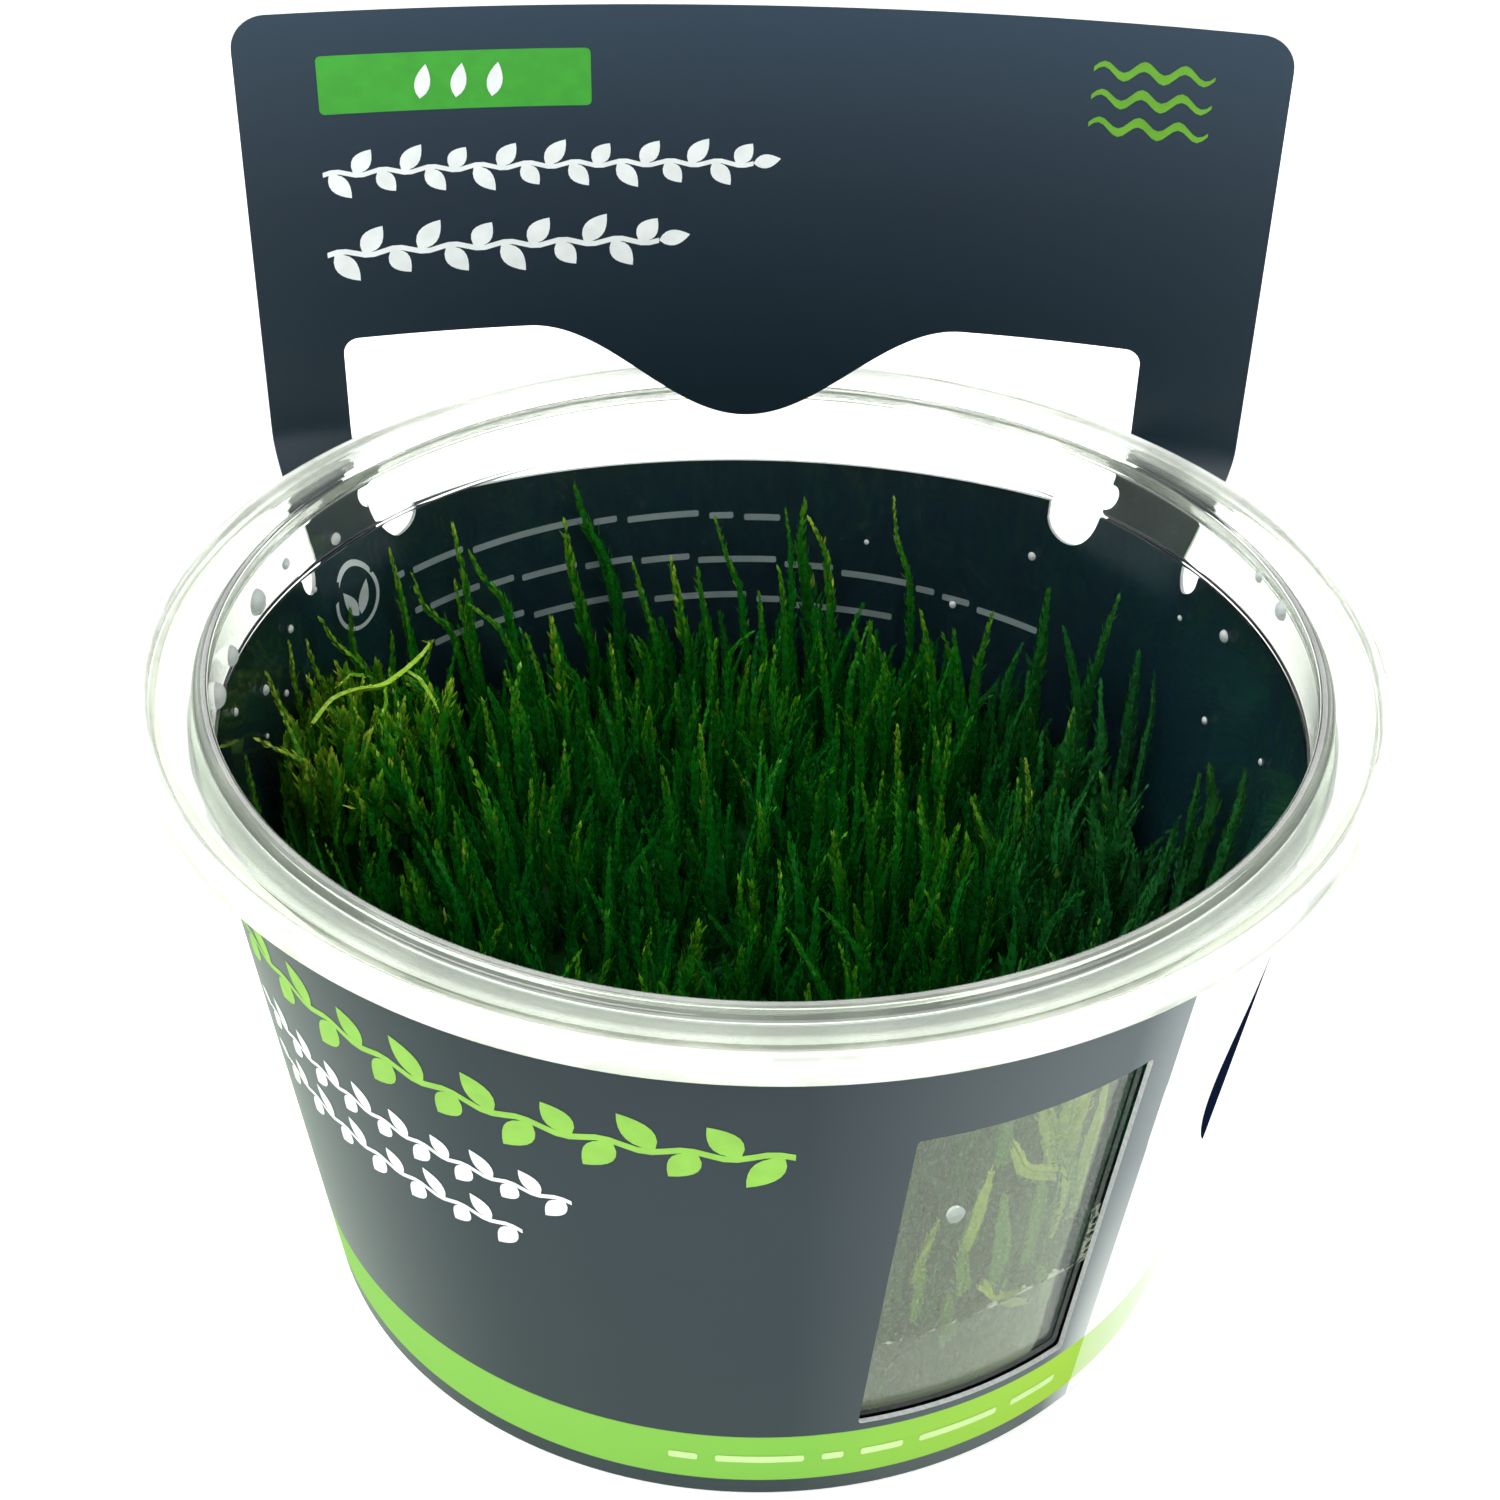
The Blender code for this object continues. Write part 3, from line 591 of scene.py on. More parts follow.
# The sheet's print: colours, then where they change, in degrees round the cup or mm of height.
# Four numbers are from, to, and the share at each.
inks = {
    "gloss": (0.35, 0.22),             # specular level of the inside and of the label side
    "fibreScale": 4000.0,              # tooth of about 0.25 mm
    "fibres": (0.18, 0.15),            # its strength on the two sides
    "navy": "#022435",
    "paintedLightTeal": "#114452",
    "paintedLightRight": (40.0, 85.0, 0.0, 0.6),
    "header": [(0.0, "#0b1f29"), (0.55, "#1c2a38"), (1.0, "#2a3b4d")],
    "headerHeights": (58.0, 97.0),
    "slate": ("#262f3c", "#2b3542"),
    "green": "#78b440",
    "sunnyGreen": "#a6c62c",
    "limb": "#0b1326",                 # next dark panel
    "arch": (30.2, -10.4 / 11.8 ** 2, 119.8),    # its edge: middle height, bend, farthest angle
    "limbPart": (62.0, 109.0),
    "varnish": 0.24,
    "white": "#f2f4f2",                # side panel
    "whiteEnd": 133.7,
    "whiteTop": (55.9, 56.1, 1.0, 0.0),
    "pale": "#aab2b3",                 # where the varnish catches light
    "paleRight": ((174.0, 141.0, 0.0, 0.2), (141.0, 133.7, 0.0, 0.38)),
    "paleLeft": ((-155.0, -116.0), (-100.0, -70.0, 0.4, 0.0)),
    "glare": "#e2e7e2",
    "glarePart": ((138.5, 134.0, 0.0, 0.45), (32.0, 11.0)),
    "rightHalf": 125.0,
    "band": (2.1, 8.3, 0.04),
    "sunny": ((172.0, 138.0, 0.0, 0.6), (95.0, 125.0)),
    "paintedGlareFade": (112.0, 134.0, 0.12, 0.7),
    "core": ("#9ea5a6", "#d9dcd8"),
}


def boardFibres(add, place, strength):
    # coated board: a fine tooth under the varnish
    tooth = add("TexNoise", {"Vector": place, "Scale": inks["fibreScale"], "Detail": 2.0})
    return add("Bump", {"Strength": strength, "Distance": 0.00002, "Height": tooth})


def cupPlace(add):
    # the place in m, its height in mm and its angle round the cup in degrees
    place = add("TexCoord").outputs["Object"]
    parts = add("SeparateXYZ", [place]).outputs
    angle = add("Math DEGREES", [add("Math ARCTAN2", [parts["X"], parts["Y"]])])
    return place, add("Math MULTIPLY", [parts["Z"], 1.0 / mm]), angle


def printedInside():
    # offset-printed coated board, satin varnish: deep navy, a little lighter up the header
    made, add, use = newMaterial("printed board, header and inside", {
        "Roughness": 0.5, "IOR": 1.5, "Specular IOR Level": inks["gloss"][0]})
    place, height, angle = cupPlace(add)
    header = add("ValToRGB", [add("MapRange", [height, *inks["headerHeights"]])], inks["header"])
    # painted light: the navy turns teal towards the back right of the inside, where more light falls
    aside = add("MapRange", [angle, *inks["paintedLightRight"]])
    sleeve = add("Mix", {0: aside, 6: inks["navy"], 7: inks["paintedLightTeal"]}, data_type="RGBA")
    ink = add("Mix", {0: between(add, height, 50.0, 120.0, 3.0), 6: sleeve, 7: header}, data_type="RGBA")
    use({"Base Color": ink, "Normal": boardFibres(add, place, inks["fibres"][0])})
    return made


def printedOutside():
    # the label side: slate ink, a leaf-green band low down and a white side panel
    made, add, use = newMaterial("printed board, label side", {
        "Roughness": 0.5, "IOR": 1.5, "Specular IOR Level": inks["gloss"][1]})
    place, height, angle = cupPlace(add)
    mottle = add("TexNoise", {"Vector": place, "Scale": 45.0, "Detail": 3.0})
    body = add("Mix", {0: mottle, 6: inks["slate"][0], 7: inks["slate"][1]}, data_type="RGBA")
    # the next dark panel starts at the right limb, along an arched edge; it has no varnish
    middle, bow, farthest = inks["arch"]
    climb = add("Math SUBTRACT", [height, middle])
    arch = add("Math MULTIPLY_ADD", [add("Math MULTIPLY", [climb, climb]), bow, farthest])
    beyond = add("Math GREATER_THAN", [angle, arch])
    start = add("MapRange", [angle, *inks["limbPart"]], interpolation_type="SMOOTHSTEP")
    limb = add("Math MULTIPLY", [start, add("Math SUBTRACT", [1.0, beyond])])
    panel = add("Math MULTIPLY", [add("Math LESS_THAN", [angle, inks["whiteEnd"]]), beyond])
    white = add("Math MULTIPLY", [panel, add("MapRange", [height, *inks["whiteTop"]])])
    # the varnish catches more light towards both limbs, most of all low on the right
    right = add("Math GREATER_THAN", [angle, inks["rightHalf"]])
    broad, narrow = (add("MapRange", [angle, *row]) for row in inks["paleRight"])
    rise, fall = (add("MapRange", [angle, *row]) for row in inks["paleLeft"])
    pale = add("Math ADD", [add("Math MULTIPLY", [right, add("Math ADD", [broad, narrow])]),
                            add("Math MULTIPLY", [add("Math POWER", [rise, 1.7]), fall])])
    corner, down = inks["glarePart"]
    glare = add("Math MULTIPLY", [add("MapRange", [angle, *corner]), add("MapRange", [height, *down])])
    glare = add("Math MULTIPLY", [right, glare])
    # painted light: the band turns a yellower green towards the right
    sunny, most = (add("MapRange", [angle, *row]) for row in inks["sunny"])
    sunny = add("Math MULTIPLY", [sunny, most])
    green = add("Mix", {0: sunny, 6: inks["green"], 7: inks["sunnyGreen"]}, data_type="RGBA")
    # painted glare: on the white panel the band pales to white towards the right limb
    paintedGlareFade = add("MapRange", [angle, *inks["paintedGlareFade"]])
    bandWithPaintedGlare = add("Mix", {0: paintedGlareFade, 6: inks["white"], 7: green}, data_type="RGBA")
    bandInk = add("Mix", {0: white, 6: green, 7: bandWithPaintedGlare}, data_type="RGBA")
    for share, ink in ((pale, inks["pale"]), (glare, inks["glare"]), (white, inks["white"]),
                       (limb, inks["limb"]), (between(add, height, *inks["band"]), bandInk)):
        body = add("Mix", {0: share, 6: body, 7: ink}, data_type="RGBA")
    dull = add("Math SUBTRACT", [1.0, limb])
    use({"Base Color": body, "Specular IOR Level": add("Math MULTIPLY", [dull, inks["varnish"]]),
         "Normal": boardFibres(add, place, inks["fibres"][1])})
    return made


def boardCore():
    # die-cut edge: pale fibrous core of the board
    made, add, use = newMaterial("cut board edge", {"Roughness": 0.8})
    fibre = add("TexNoise", {"Vector": add("TexCoord").outputs["Object"], "Scale": 2500.0, "Detail": 3.0})
    use({"Base Color": add("Mix", {0: fibre, 6: inks["core"][0], 7: inks["core"][1]}, data_type="RGBA")})
    return made


cardPoints, cardFaces, cardKinds = cardBody()
makePiece("card_sheet", cardPoints, cardFaces, [printedInside(), printedOutside(), boardCore()],
          "card_sleeve", cardKinds, 40.0, 0.002)
print("card cut and wrapped")


# Print on the card: screen-printed shapes in thick ink, laid on as thin skins.
# Leafy vines stand where names would be, plain dashes stand for small print.
prints = {
    "lift": 0.03,          # mm of ink and varnish over the board
    "step": 1.3,           # mm between points, so that the skins follow the card's curve
    "inks": {"white": "#e9efee", "lime": "#86bd45", "badge green": "#3fa035", "leaf green": "#63a02b",
             "pale grey": "#aebcbd", "pale lime": "#c4e09a"},
    "badge": (-38.4, -15.0, 87.5, 92.8),             # s from, s to, z from, z to, in mm
    "titleRows": ((-38.6, -0.8, 79.7, 84.2), (-38.8, -9.2, 71.7, 76.9)),
    "waves": (28.4, 38.8, 86.9, 93.4),
    "bigRow": ((-62.0, 5.0, 40.8, 47.4),),           # degrees from the front, then z
    "labelRows": ((-61.0, -16.5, 33.7, 38.2), (-60.0, -22.5, 28.2, 32.9)),
    "bandRow": (-8.0, 42.0, 4.1, 6.3),
    "bandDashes": (4, 6, 3, 1.5, 6, 2),
    "insideRing": (-58.3, 46.3, 2.95),               # degrees from the back, z, radius
    "insideRows": ((-51.8, 0.6, 46.3, 44.2), (-49.6, 36.3, 42.1, 37.9), (-47.4, 16.0, 38.2, 34.8)),
    "insideDashes": ((1, 5, 10, 2, 6, 2, 3), (1, 6, 3, 6, 5, 5, 8, 5, 7, 2, 3, 7), (5, 3, 10, 8, 2, 9)),
}


def leafShape(x, z, length, width, tilt, count=7):
    # pointed leaf from its foot at x, z, tilted to the right by tilt degrees
    sine, cosine = math.sin(math.radians(tilt)), math.cos(math.radians(tilt))
    right, left = [], []
    for i in range(count + 1):
        t = i / count
        half = 0.5 * width * math.sin(math.pi * t ** 0.85) ** 0.9 if 0 < i < count else 0.0
        spot = (x + t * length * sine, z + t * length * cosine)
        right.append((spot[0] + half * cosine, spot[1] - half * sine))
        if 0 < i < count:
            left.append((spot[0] - half * cosine, spot[1] + half * sine))
    return right + left[::-1]


def barShape(x0, x1, z0, z1, r):
    return (arc((x1 - r, z0 + r), r, -90, 0, 4) + arc((x1 - r, z1 - r), r, 0, 90, 4)
            + arc((x0 + r, z1 - r), r, 90, 180, 4) + arc((x0 + r, z0 + r), r, 180, 270, 4))


def ribbonShape(line, widths):
    # a flat band of varying width along a line that runs roughly sideways
    upper = [(x, z + 0.5 * w) for (x, z), w in zip(line, widths)]
    lower = [(x, z - 0.5 * w) for (x, z), w in zip(line, widths)]
    return lower + upper[::-1]


def vineShapes(first, last, low, high):
    # a vine along the row: a waving stem with pointed leaves by turns above and below it
    tall = high - low
    middle = low + 0.5 * tall
    steps = max(3, round((last - first) / (0.46 * tall)))
    line = [(first + (last - first) * i / (3 * steps), middle + 0.05 * tall * math.sin(i * math.pi / 3.0))
            for i in range(3 * steps + 1)]
    shapes = [ribbonShape(line, [0.1 * tall] * len(line))]
    for i in range(steps):
        x = first + (last - first) * (i + 0.25) / steps
        tilt = 38.0 if i % 2 else 142.0
        shapes.append(leafShape(x, middle, (0.66 - 0.06 * (i % 3)) * tall, 0.36 * tall, tilt))
    return shapes + [leafShape(last, middle, 0.55 * tall, 0.3 * tall, 78.0)]


def dashRow(first, last, low, high, drop, words, gap):
    # dashes of given lengths, filling the row; its height falls by drop along the way
    total = sum(words) + gap * (len(words) - 1)
    shapes, at = [], first
    for word in words:
        end = at + (last - first) * word / total
        fall = drop * ((at + end) / 2.0 - first) / (last - first)
        shapes.append(barShape(at, end, low + fall, high + fall, 0.3 * (high - low)))
        at = end + (last - first) * gap / total
    return shapes


def frontRow(first, last, low, high):
    # a row on the label, from angles counted from the front of the cup
    return atAngle(-180.0 - last), atAngle(-180.0 - first), low, high


def printSkin(name, shapes, surface, outside=False):
    # skins of ink on the card's outer or inner face
    lift = card["thickness"] + prints["lift"] if outside else -prints["lift"]
    step = prints["step"]
    points, faces = [], []
    for shape in shapes:
        edge = np.array(shape)
        (left, low), wide = edge.min(axis=0), np.ptp(edge[:, 0])
        extra = []
        if wide > 2.5:
            places = [(left + step * i, low + step * j) for i in range(1, 30) for j in range(1, 6)]
            extra = [p for p in places if inside(p, shape) and np.hypot(*(edge - p).T).min() > 0.35]
        loop = [p for start, end in zip(shape, shape[1:] + shape[:1]) for p in along(start, end, step)]
        spots, triangles = cutSheet([loop], extra)
        first = len(points)
        points += [cardPoint(*p) + cardNormal(*p) * lift for p in spots]
        faces += [tuple(first + i for i in (t if outside else t[::-1])) for t in triangles]
    return makePiece(name, points, faces, [surface], "card_sleeve")


def screenInk(name, code):
    # opaque screen ink: satin, with a faint unevenness where it was squeezed through the mesh
    made, add, use = newMaterial(name, {"Roughness": 0.45, "Specular IOR Level": 0.35})
    patch = add("TexNoise", {"Vector": add("TexCoord").outputs["Object"], "Scale": 600.0, "Detail": 2.0})
    share = add("MapRange", [patch, 0.3, 0.7, 0.88, 1.0])
    use({"Base Color": add("Mix", {0: 1.0, 6: code, 7: share}, data_type="RGBA", blend_type="MULTIPLY")})
    return made


def addPrints():
    ink = {name: screenInk(name + " screen ink", code) for name, code in prints["inks"].items()}
    left, right, low, high = prints["badge"]
    middle = (left + right) / 2.0
    printSkin("print_badge", [barShape(left, right, low, high, 0.45)], ink["badge green"])
    leaves = [leafShape(middle + 3.1 * i, low + 1.05, 3.2, 1.35, 12.0) for i in (-1, 0, 1)]
    skin = printSkin("print_badge_leaves", leaves, ink["white"])
    for corner in skin.data.vertices:
        corner.co.y -= prints["lift"] * mm    # they lie on the badge's own ink
    title = [shape for row in prints["titleRows"] for shape in vineShapes(*row)]
    printSkin("print_title", title, ink["white"])
    left, right, low, high = prints["waves"]
    waves = []
    for level in range(3):
        z = low + 0.4 + level * (high - low - 1.4) / 2.0
        crest = [(left + (right - left) * i / 24.0, z + 0.55 * math.sin(i * math.pi / 4.0))
                 for i in range(25)]
        widths = [0.9 * math.sin(math.pi * min(0.97, max(0.06, i / 24.0))) ** 0.4 for i in range(25)]
        waves.append(ribbonShape(crest, widths))
    printSkin("print_waves", waves, ink["leaf green"])
    for name, rows, colour in (("print_label_lime", prints["bigRow"], "lime"),
                               ("print_label_white", prints["labelRows"], "white")):
        vines = [shape for row in rows for shape in vineShapes(*frontRow(*row))]
        printSkin(name, vines, ink[colour], True)
    first, last, low, high = frontRow(*prints["bandRow"])
    band = dashRow(first, last, low + 0.65, high - 0.65, 0.0, prints["bandDashes"], 1.2)
    printSkin("print_band", band, ink["pale lime"], True)

    turn, z, radius = prints["insideRing"]
    s = atAngle(turn)
    outer, inner = (arc((s, z), r, 0.0, 360.0, 40) for r in (radius, radius - 0.4))
    mark = [[outer[i], outer[i + 1], inner[i + 1], inner[i]] for i in range(40)]
    mark += [leafShape(s + side * 0.15, z - 1.6, 3.2, 1.3, side * 27.0) for side in (-1, 1)]
    printSkin("print_inside_mark", mark, ink["white"])
    fine = []
    for (begin, end, start, stop), dashes in zip(prints["insideRows"], prints["insideDashes"]):
        fine += dashRow(atAngle(begin), atAngle(end), start - 0.4, start + 0.25, stop - start, dashes, 0.9)
    printSkin("print_inside", fine, ink["pale grey"])


addPrints()
print("card printed")


# Gel: agar, poured hot and set, so its top is smooth, slightly wavy and climbs the wall a little
gel = {
    "level": 18.0,
    "rings": 40,
    "segments": 160,
    "wallGap": 0.12,
    "wave": 1.6,           # height of the waves, about 18 mm apart
    "tilt": 0.02,
    "climb": (0.94, 0.3),  # share of the radius where it starts, and its height
    "tint": "#e8efdc",
    "colour": "#dfe8cf",
    "ior": 1.34,           # mostly water
    "density": 18.0,       # absorption per metre
}


def gelHeight(x, y):
    wave = noise.noise(Vector((x * 0.055, y * 0.055, 3.7)))
    return gel["level"] + gel["wave"] * wave + gel["tilt"] * x


def gelBody():
    rings, segments, gap = gel["rings"], gel["segments"], gel["wallGap"]
    start, height = gel["climb"]
    points = []
    for number in range(1, rings + 1):
        share = number / rings
        climb = height * max(0.0, (share - start) / (1.0 - start)) ** 2
        points += [(x, y, gelHeight(x, y) + climb)
                   for x, y, _ in ring(share * (innerWall(gel["level"]) - gap), 0.0, segments)]
    wall = [(innerWall(z) - gap, z) for z in (14.0, 9.0, 4.5, 2.8)]
    for radius, z in wall + [(36.6, 1.9), (35.7, 1.25)]:
        points += ring(radius, z, segments)
    return points + [(0.0, 0.0, gelHeight(0.0, 0.0)), (0.0, 0.0, 1.25)], ringFaces(rings + 6, segments, False)


def setAgar():
    # cloudy jelly: clear enough to show stems, wet on top
    made, add, use = newMaterial("set agar gel", {
        "Base Color": gel["tint"], "Roughness": 0.12, "IOR": gel["ior"], "Transmission Weight": 1.0})
    ripple = add("TexNoise", {"Vector": add("TexCoord").outputs["Object"], "Scale": 260.0, "Detail": 2.0})
    use({"Normal": add("Bump", {"Strength": 0.3, "Distance": 0.0004, "Height": ripple})})
    haze = add("VolumeAbsorption", {"Color": gel["colour"], "Density": gel["density"]})
    feed(made.node_tree, made.node_tree.nodes["Material Output"], {"Volume": haze})
    return made


makePiece("gel_body", *gelBody(), [setAgar()], "nutrient_gel", smoothAngle=60.0, weld=0.001)
print("gel poured")


# Moss: spiky moss grown in the cup, long upright shoots clothed in small pointed leaves
moss = {
    "seed": 7,
    "matSeed": 5,
    "canopy": 34.0,        # mm, where the crowd of shoots ends
    "foot": 20.5,
    "randomTall": 380,
    "crowd": 1500,
    "wallShoots": 420,
    "clump": 90,
    "leafLength": 1.5,     # mm
    "leafWidth": 0.2,      # half width, as a share of the length
    "belly": 0.42,         # where a leaf is widest
    "closeLeaf": 0.05,     # how far a leaf that lies close stands out, as a share of its length
    "teethLeaf": (0.15, 0.42),
    "glints": 0.012,
    "core": 0.6,           # of a shoot's half width; leaves cover the rest
    # painted shade deep in the crowd, then up the shoots, and painted light at the tips
    "greens": [(0.0, "#034010"), (0.18, "#085812"), (0.42, "#176a0e"), (0.72, "#568c16"), (1.0, "#b4c846")],
    "olive": "#6a6c1c",
    "older": (-0.0335, -0.0395, 0.0, 0.35),      # x from, to, in m, then share of olive
    "blueGreen": "#2f6c40",
    "shaded": (0.016, 0.036, 0.0, 0.45),
    "mat": [(0.3, "#04240b"), (0.7, "#083c10")],
    "matDrop": 7.0,        # mm from the canopy down to the mat
    "matFoot": (36.5, 20.4),                     # radius and height
}

# Shoots that stand out, each in its own upright plane: y, width, share of light,
# then places (x, z) from the tip down, all in mm
standing = [
    (26.8, 1.3, 0.75, (-36.2, 49.5), (-35.7, 45.9), (-35.3, 41.5), (-35.5, 32.9)),
    (33.6, 1.3, 0.80, (-31.9, 49.5), (-31.3, 44.5), (-31.2, 38.7), (-31.0, 29.7)),
    (25.8, 1.2, 0.70, (-32.7, 47.0), (-32.0, 44.0), (-29.5, 41.9), (-28.1, 35.0)),
    (25.1, 1.2, 0.70, (-28.8, 47.0), (-27.9, 41.2), (-27.0, 35.8), (-26.7, 29.9)),
    (23.0, 1.2, 0.60, (-26.9, 46.0), (-24.6, 43.9), (-22.9, 39.6), (-22.2, 31.5)),
    (27.6, 1.5, 0.55, (-27.5, 48.5), (-26.5, 46.0), (-24.6, 44.1), (-23.8, 38.8), (-23.3, 30.6)),
    (39.3, 1.9, 0.45, (-19.2, 49.5), (-18.3, 45.8), (-16.4, 42.1), (-15.5, 37.1), (-15.2, 26.5)),
    (33.0, 1.7, 0.70, (-19.4, 48.6), (-18.9, 44.0), (-18.0, 39.1), (-17.1, 35.3), (-16.5, 27.1)),
    (27.8, 1.3, 0.60, (-12.5, 47.5), (-11.7, 44.1), (-10.6, 40.1), (-10.1, 33.3)),
    (28.9, 1.7, 0.75, (-9.2, 47.5), (-8.6, 43.5), (-7.7, 38.6), (-7.1, 32.7)),
    (29.4, 1.3, 0.55, (-6.8, 46.5), (-6.2, 42.4), (-5.4, 38.1)),
    (33.9, 1.2, 0.60, (-5.3, 49.2), (-4.3, 45.6), (-2.9, 42.1), (-2.5, 36.5), (-2.0, 29.5)),
    (36.0, 1.1, 0.50, (1.1, 49.4), (1.6, 46.0), (1.9, 41.0)),
    (37.4, 2.3, 0.60, (2.8, 49.5), (2.5, 45.8), (3.4, 40.2), (4.4, 34.5), (4.8, 27.4)),
    (34.6, 1.4, 0.80, (3.6, 49.2), (5.0, 46.2), (5.5, 42.0)),
    (27.3, 1.3, 0.60, (0.8, 48.0), (1.3, 44.2), (1.6, 38.7)),
    (38.4, 1.1, 0.85, (11.3, 49.5), (11.6, 46.0), (13.0, 42.0), (13.5, 36.6), (13.9, 28.4)),
    (21.9, 1.2, 0.45, (7.7, 46.0), (8.3, 43.6), (8.9, 38.2)),
    (21.2, 1.3, 0.50, (9.1, 46.5), (9.1, 43.0), (9.4, 36.4)),
    (23.5, 1.3, 0.65, (13.8, 46.5), (14.8, 42.2), (15.5, 37.3), (16.4, 30.5)),
    (24.0, 1.4, 0.60, (20.1, 46.0), (19.3, 41.2), (19.1, 36.7), (19.5, 29.1)),
    (21.2, 1.6, 0.40, (16.8, 45.5), (17.4, 41.2), (18.2, 34.5)),
    (19.8, 1.2, 0.50, (10.5, 44.0), (10.3, 39.6), (11.0, 34.1)),
    (27.2, 1.9, 0.40, (25.4, 46.8), (25.3, 42.0), (24.9, 37.9), (24.9, 30.6), (25.2, 23.5)),
    (23.3, 1.6, 0.30, (27.0, 45.0), (28.4, 39.8), (29.3, 33.5)),
    (25.9, 1.5, 0.50, (31.6, 47.0), (30.8, 43.1), (30.0, 38.1), (29.8, 31.7)),
    (22.8, 1.8, 0.20, (33.7, 43.0), (33.6, 39.0), (33.6, 31.8)),
    (21.5, 1.1, 0.15, (35.2, 42.0), (35.5, 35.1), (36.4, 28.3)),
    (10.1, 1.9, 0.55, (39.3, 40.0), (40.0, 36.1), (40.9, 31.2), (41.6, 25.5)),
    (5.3, 1.6, 0.50, (41.4, 42.5), (41.2, 38.7), (41.0, 34.9), (40.6, 29.3)),
    (10.0, 1.3, 0.40, (38.4, 39.0), (38.3, 35.1), (38.1, 30.1)),
    (6.1, 1.7, 0.45, (29.6, 41.0), (30.7, 36.6), (31.3, 30.5), (31.5, 24.8)),
    (4.4, 1.8, 0.40, (31.2, 41.0), (31.2, 36.2), (30.2, 31.8), (29.9, 23.8)),
    (1.0, 1.5, 0.40, (35.1, 39.0), (34.7, 34.6), (33.6, 30.2), (32.7, 26.7)),
    (6.2, 1.3, 0.35, (25.4, 42.0), (25.2, 36.3), (25.0, 30.1), (24.6, 23.2)),
    (-3.2, 2.2, 0.55, (17.5, 41.0), (17.3, 36.7), (17.0, 30.6)),
    (-3.9, 1.9, 0.50, (15.4, 41.0), (15.3, 35.4), (15.2, 28.8)),
    (-3.4, 1.8, 0.60, (6.3, 41.0), (7.0, 36.2), (7.6, 31.3), (8.2, 26.9)),
    (0.9, 1.3, 0.50, (8.7, 43.0), (9.4, 39.0), (10.0, 33.6)),
    (5.8, 1.1, 0.85, (22.7, 43.0), (23.2, 40.2), (23.4, 35.9)),
    (8.8, 1.3, 0.75, (11.6, 44.0), (11.9, 39.7), (12.4, 35.4), (13.3, 28.7)),
    (7.3, 1.1, 0.75, (-5.5, 44.5), (-5.2, 41.1), (-5.0, 36.8), (-5.1, 31.2)),
    (8.8, 1.3, 0.65, (-24.4, 45.0), (-23.7, 40.3), (-22.8, 35.4), (-21.7, 30.3), (-21.0, 23.6)),
    (-5.5, 2.6, 0.50, (-29.4, 38.0), (-28.6, 34.6), (-27.2, 31.4), (-26.7, 28.1)),
    (-5.8, 2.0, 0.30, (-25.1, 38.5), (-24.5, 34.6), (-24.1, 29.6)),
    (0.1, 1.7, 0.45, (-17.7, 42.0), (-18.3, 37.3), (-17.6, 32.4), (-16.6, 27.4)),
    (-4.0, 1.6, 0.30, (-14.3, 41.0), (-14.7, 36.3), (-14.3, 29.7)),
    (-13.5, 2.6, 0.65, (-4.6, 39.0), (-5.2, 35.3), (-5.7, 31.5)),
    (-10.1, 1.7, 0.50, (-0.3, 40.5), (0.2, 36.0), (1.0, 31.1)),
    (-17.1, 1.6, 0.45, (-1.0, 39.5), (-1.3, 35.8)),
    (-8.3, 1.5, 0.30, (-9.3, 42.0), (-8.8, 37.8), (-8.3, 32.5)),
    (18.0, 1.2, 0.60, (-21.5, 46.0), (-20.7, 43.0), (-19.9, 37.4), (-18.9, 30.6)),
    (19.2, 1.7, 0.75, (-19.4, 46.8), (-19.1, 42.9), (-18.4, 36.6), (-17.4, 28.7)),
    (13.0, 1.2, 0.65, (-22.8, 45.0), (-21.6, 41.2), (-20.9, 36.4)),
    (19.2, 1.1, 0.70, (-14.2, 45.5), (-13.7, 40.1), (-13.2, 34.5)),
    (21.1, 1.4, 0.40, (-2.2, 45.0), (-3.5, 43.6), (-3.7, 40.8), (-3.5, 35.9)),
    (26.1, 1.3, 0.50, (-1.0, 46.0), (-0.5, 40.5), (0.0, 34.9)),
    (22.0, 1.3, 0.50, (4.7, 44.5), (5.4, 39.0), (6.0, 33.4)),
    (10.6, 1.2, 0.80, (-41.3, 48.9), (-41.2, 44.7), (-40.6, 40.9), (-39.8, 37.2)),
    (13.3, 1.2, 0.80, (-40.3, 47.6), (-39.8, 44.9), (-38.4, 41.9), (-37.8, 37.6)),
    (16.2, 1.3, 0.70, (-39.4, 48.1), (-38.3, 45.8), (-36.2, 44.0), (-35.0, 41.2)),
    (19.6, 1.4, 0.50, (-37.6, 47.3), (-37.7, 43.4), (-37.7, 37.7), (-37.8, 31.0)),
    (6.0, 1.4, 0.85, (-42.3, 48.8), (-41.6, 46.1), (-40.3, 43.7), (-39.7, 39.4)),
    (1.0, 1.3, 0.80, (-42.3, 45.9), (-40.5, 44.9), (-38.7, 44.0), (-37.5, 41.1)),
    (11.2, 1.3, 0.80, (-40.0, 42.5), (-39.5, 39.1), (-39.0, 34.7)),
    (13.4, 1.3, 0.70, (-38.0, 43.0), (-38.0, 38.7), (-38.0, 33.1)),
    (9.6, 1.2, 0.75, (-34.4, 42.5), (-35.3, 38.1), (-36.0, 32.6)),
    (18.0, 1.3, 0.55, (-33.7, 45.5), (-34.1, 39.0), (-33.9, 32.3)),
    (12.3, 1.1, 0.80, (-35.6, 44.5), (-36.4, 40.6), (-37.2, 36.2)),
    (-4.8, 1.2, 0.60, (-42.3, 48.1), (-42.1, 45.1), (-41.6, 40.9)),
    (17.5, 1.1, 0.70, (-30.2, 45.3), (-30.9, 42.9), (-32.4, 39.4), (-33.2, 33.8)),
]

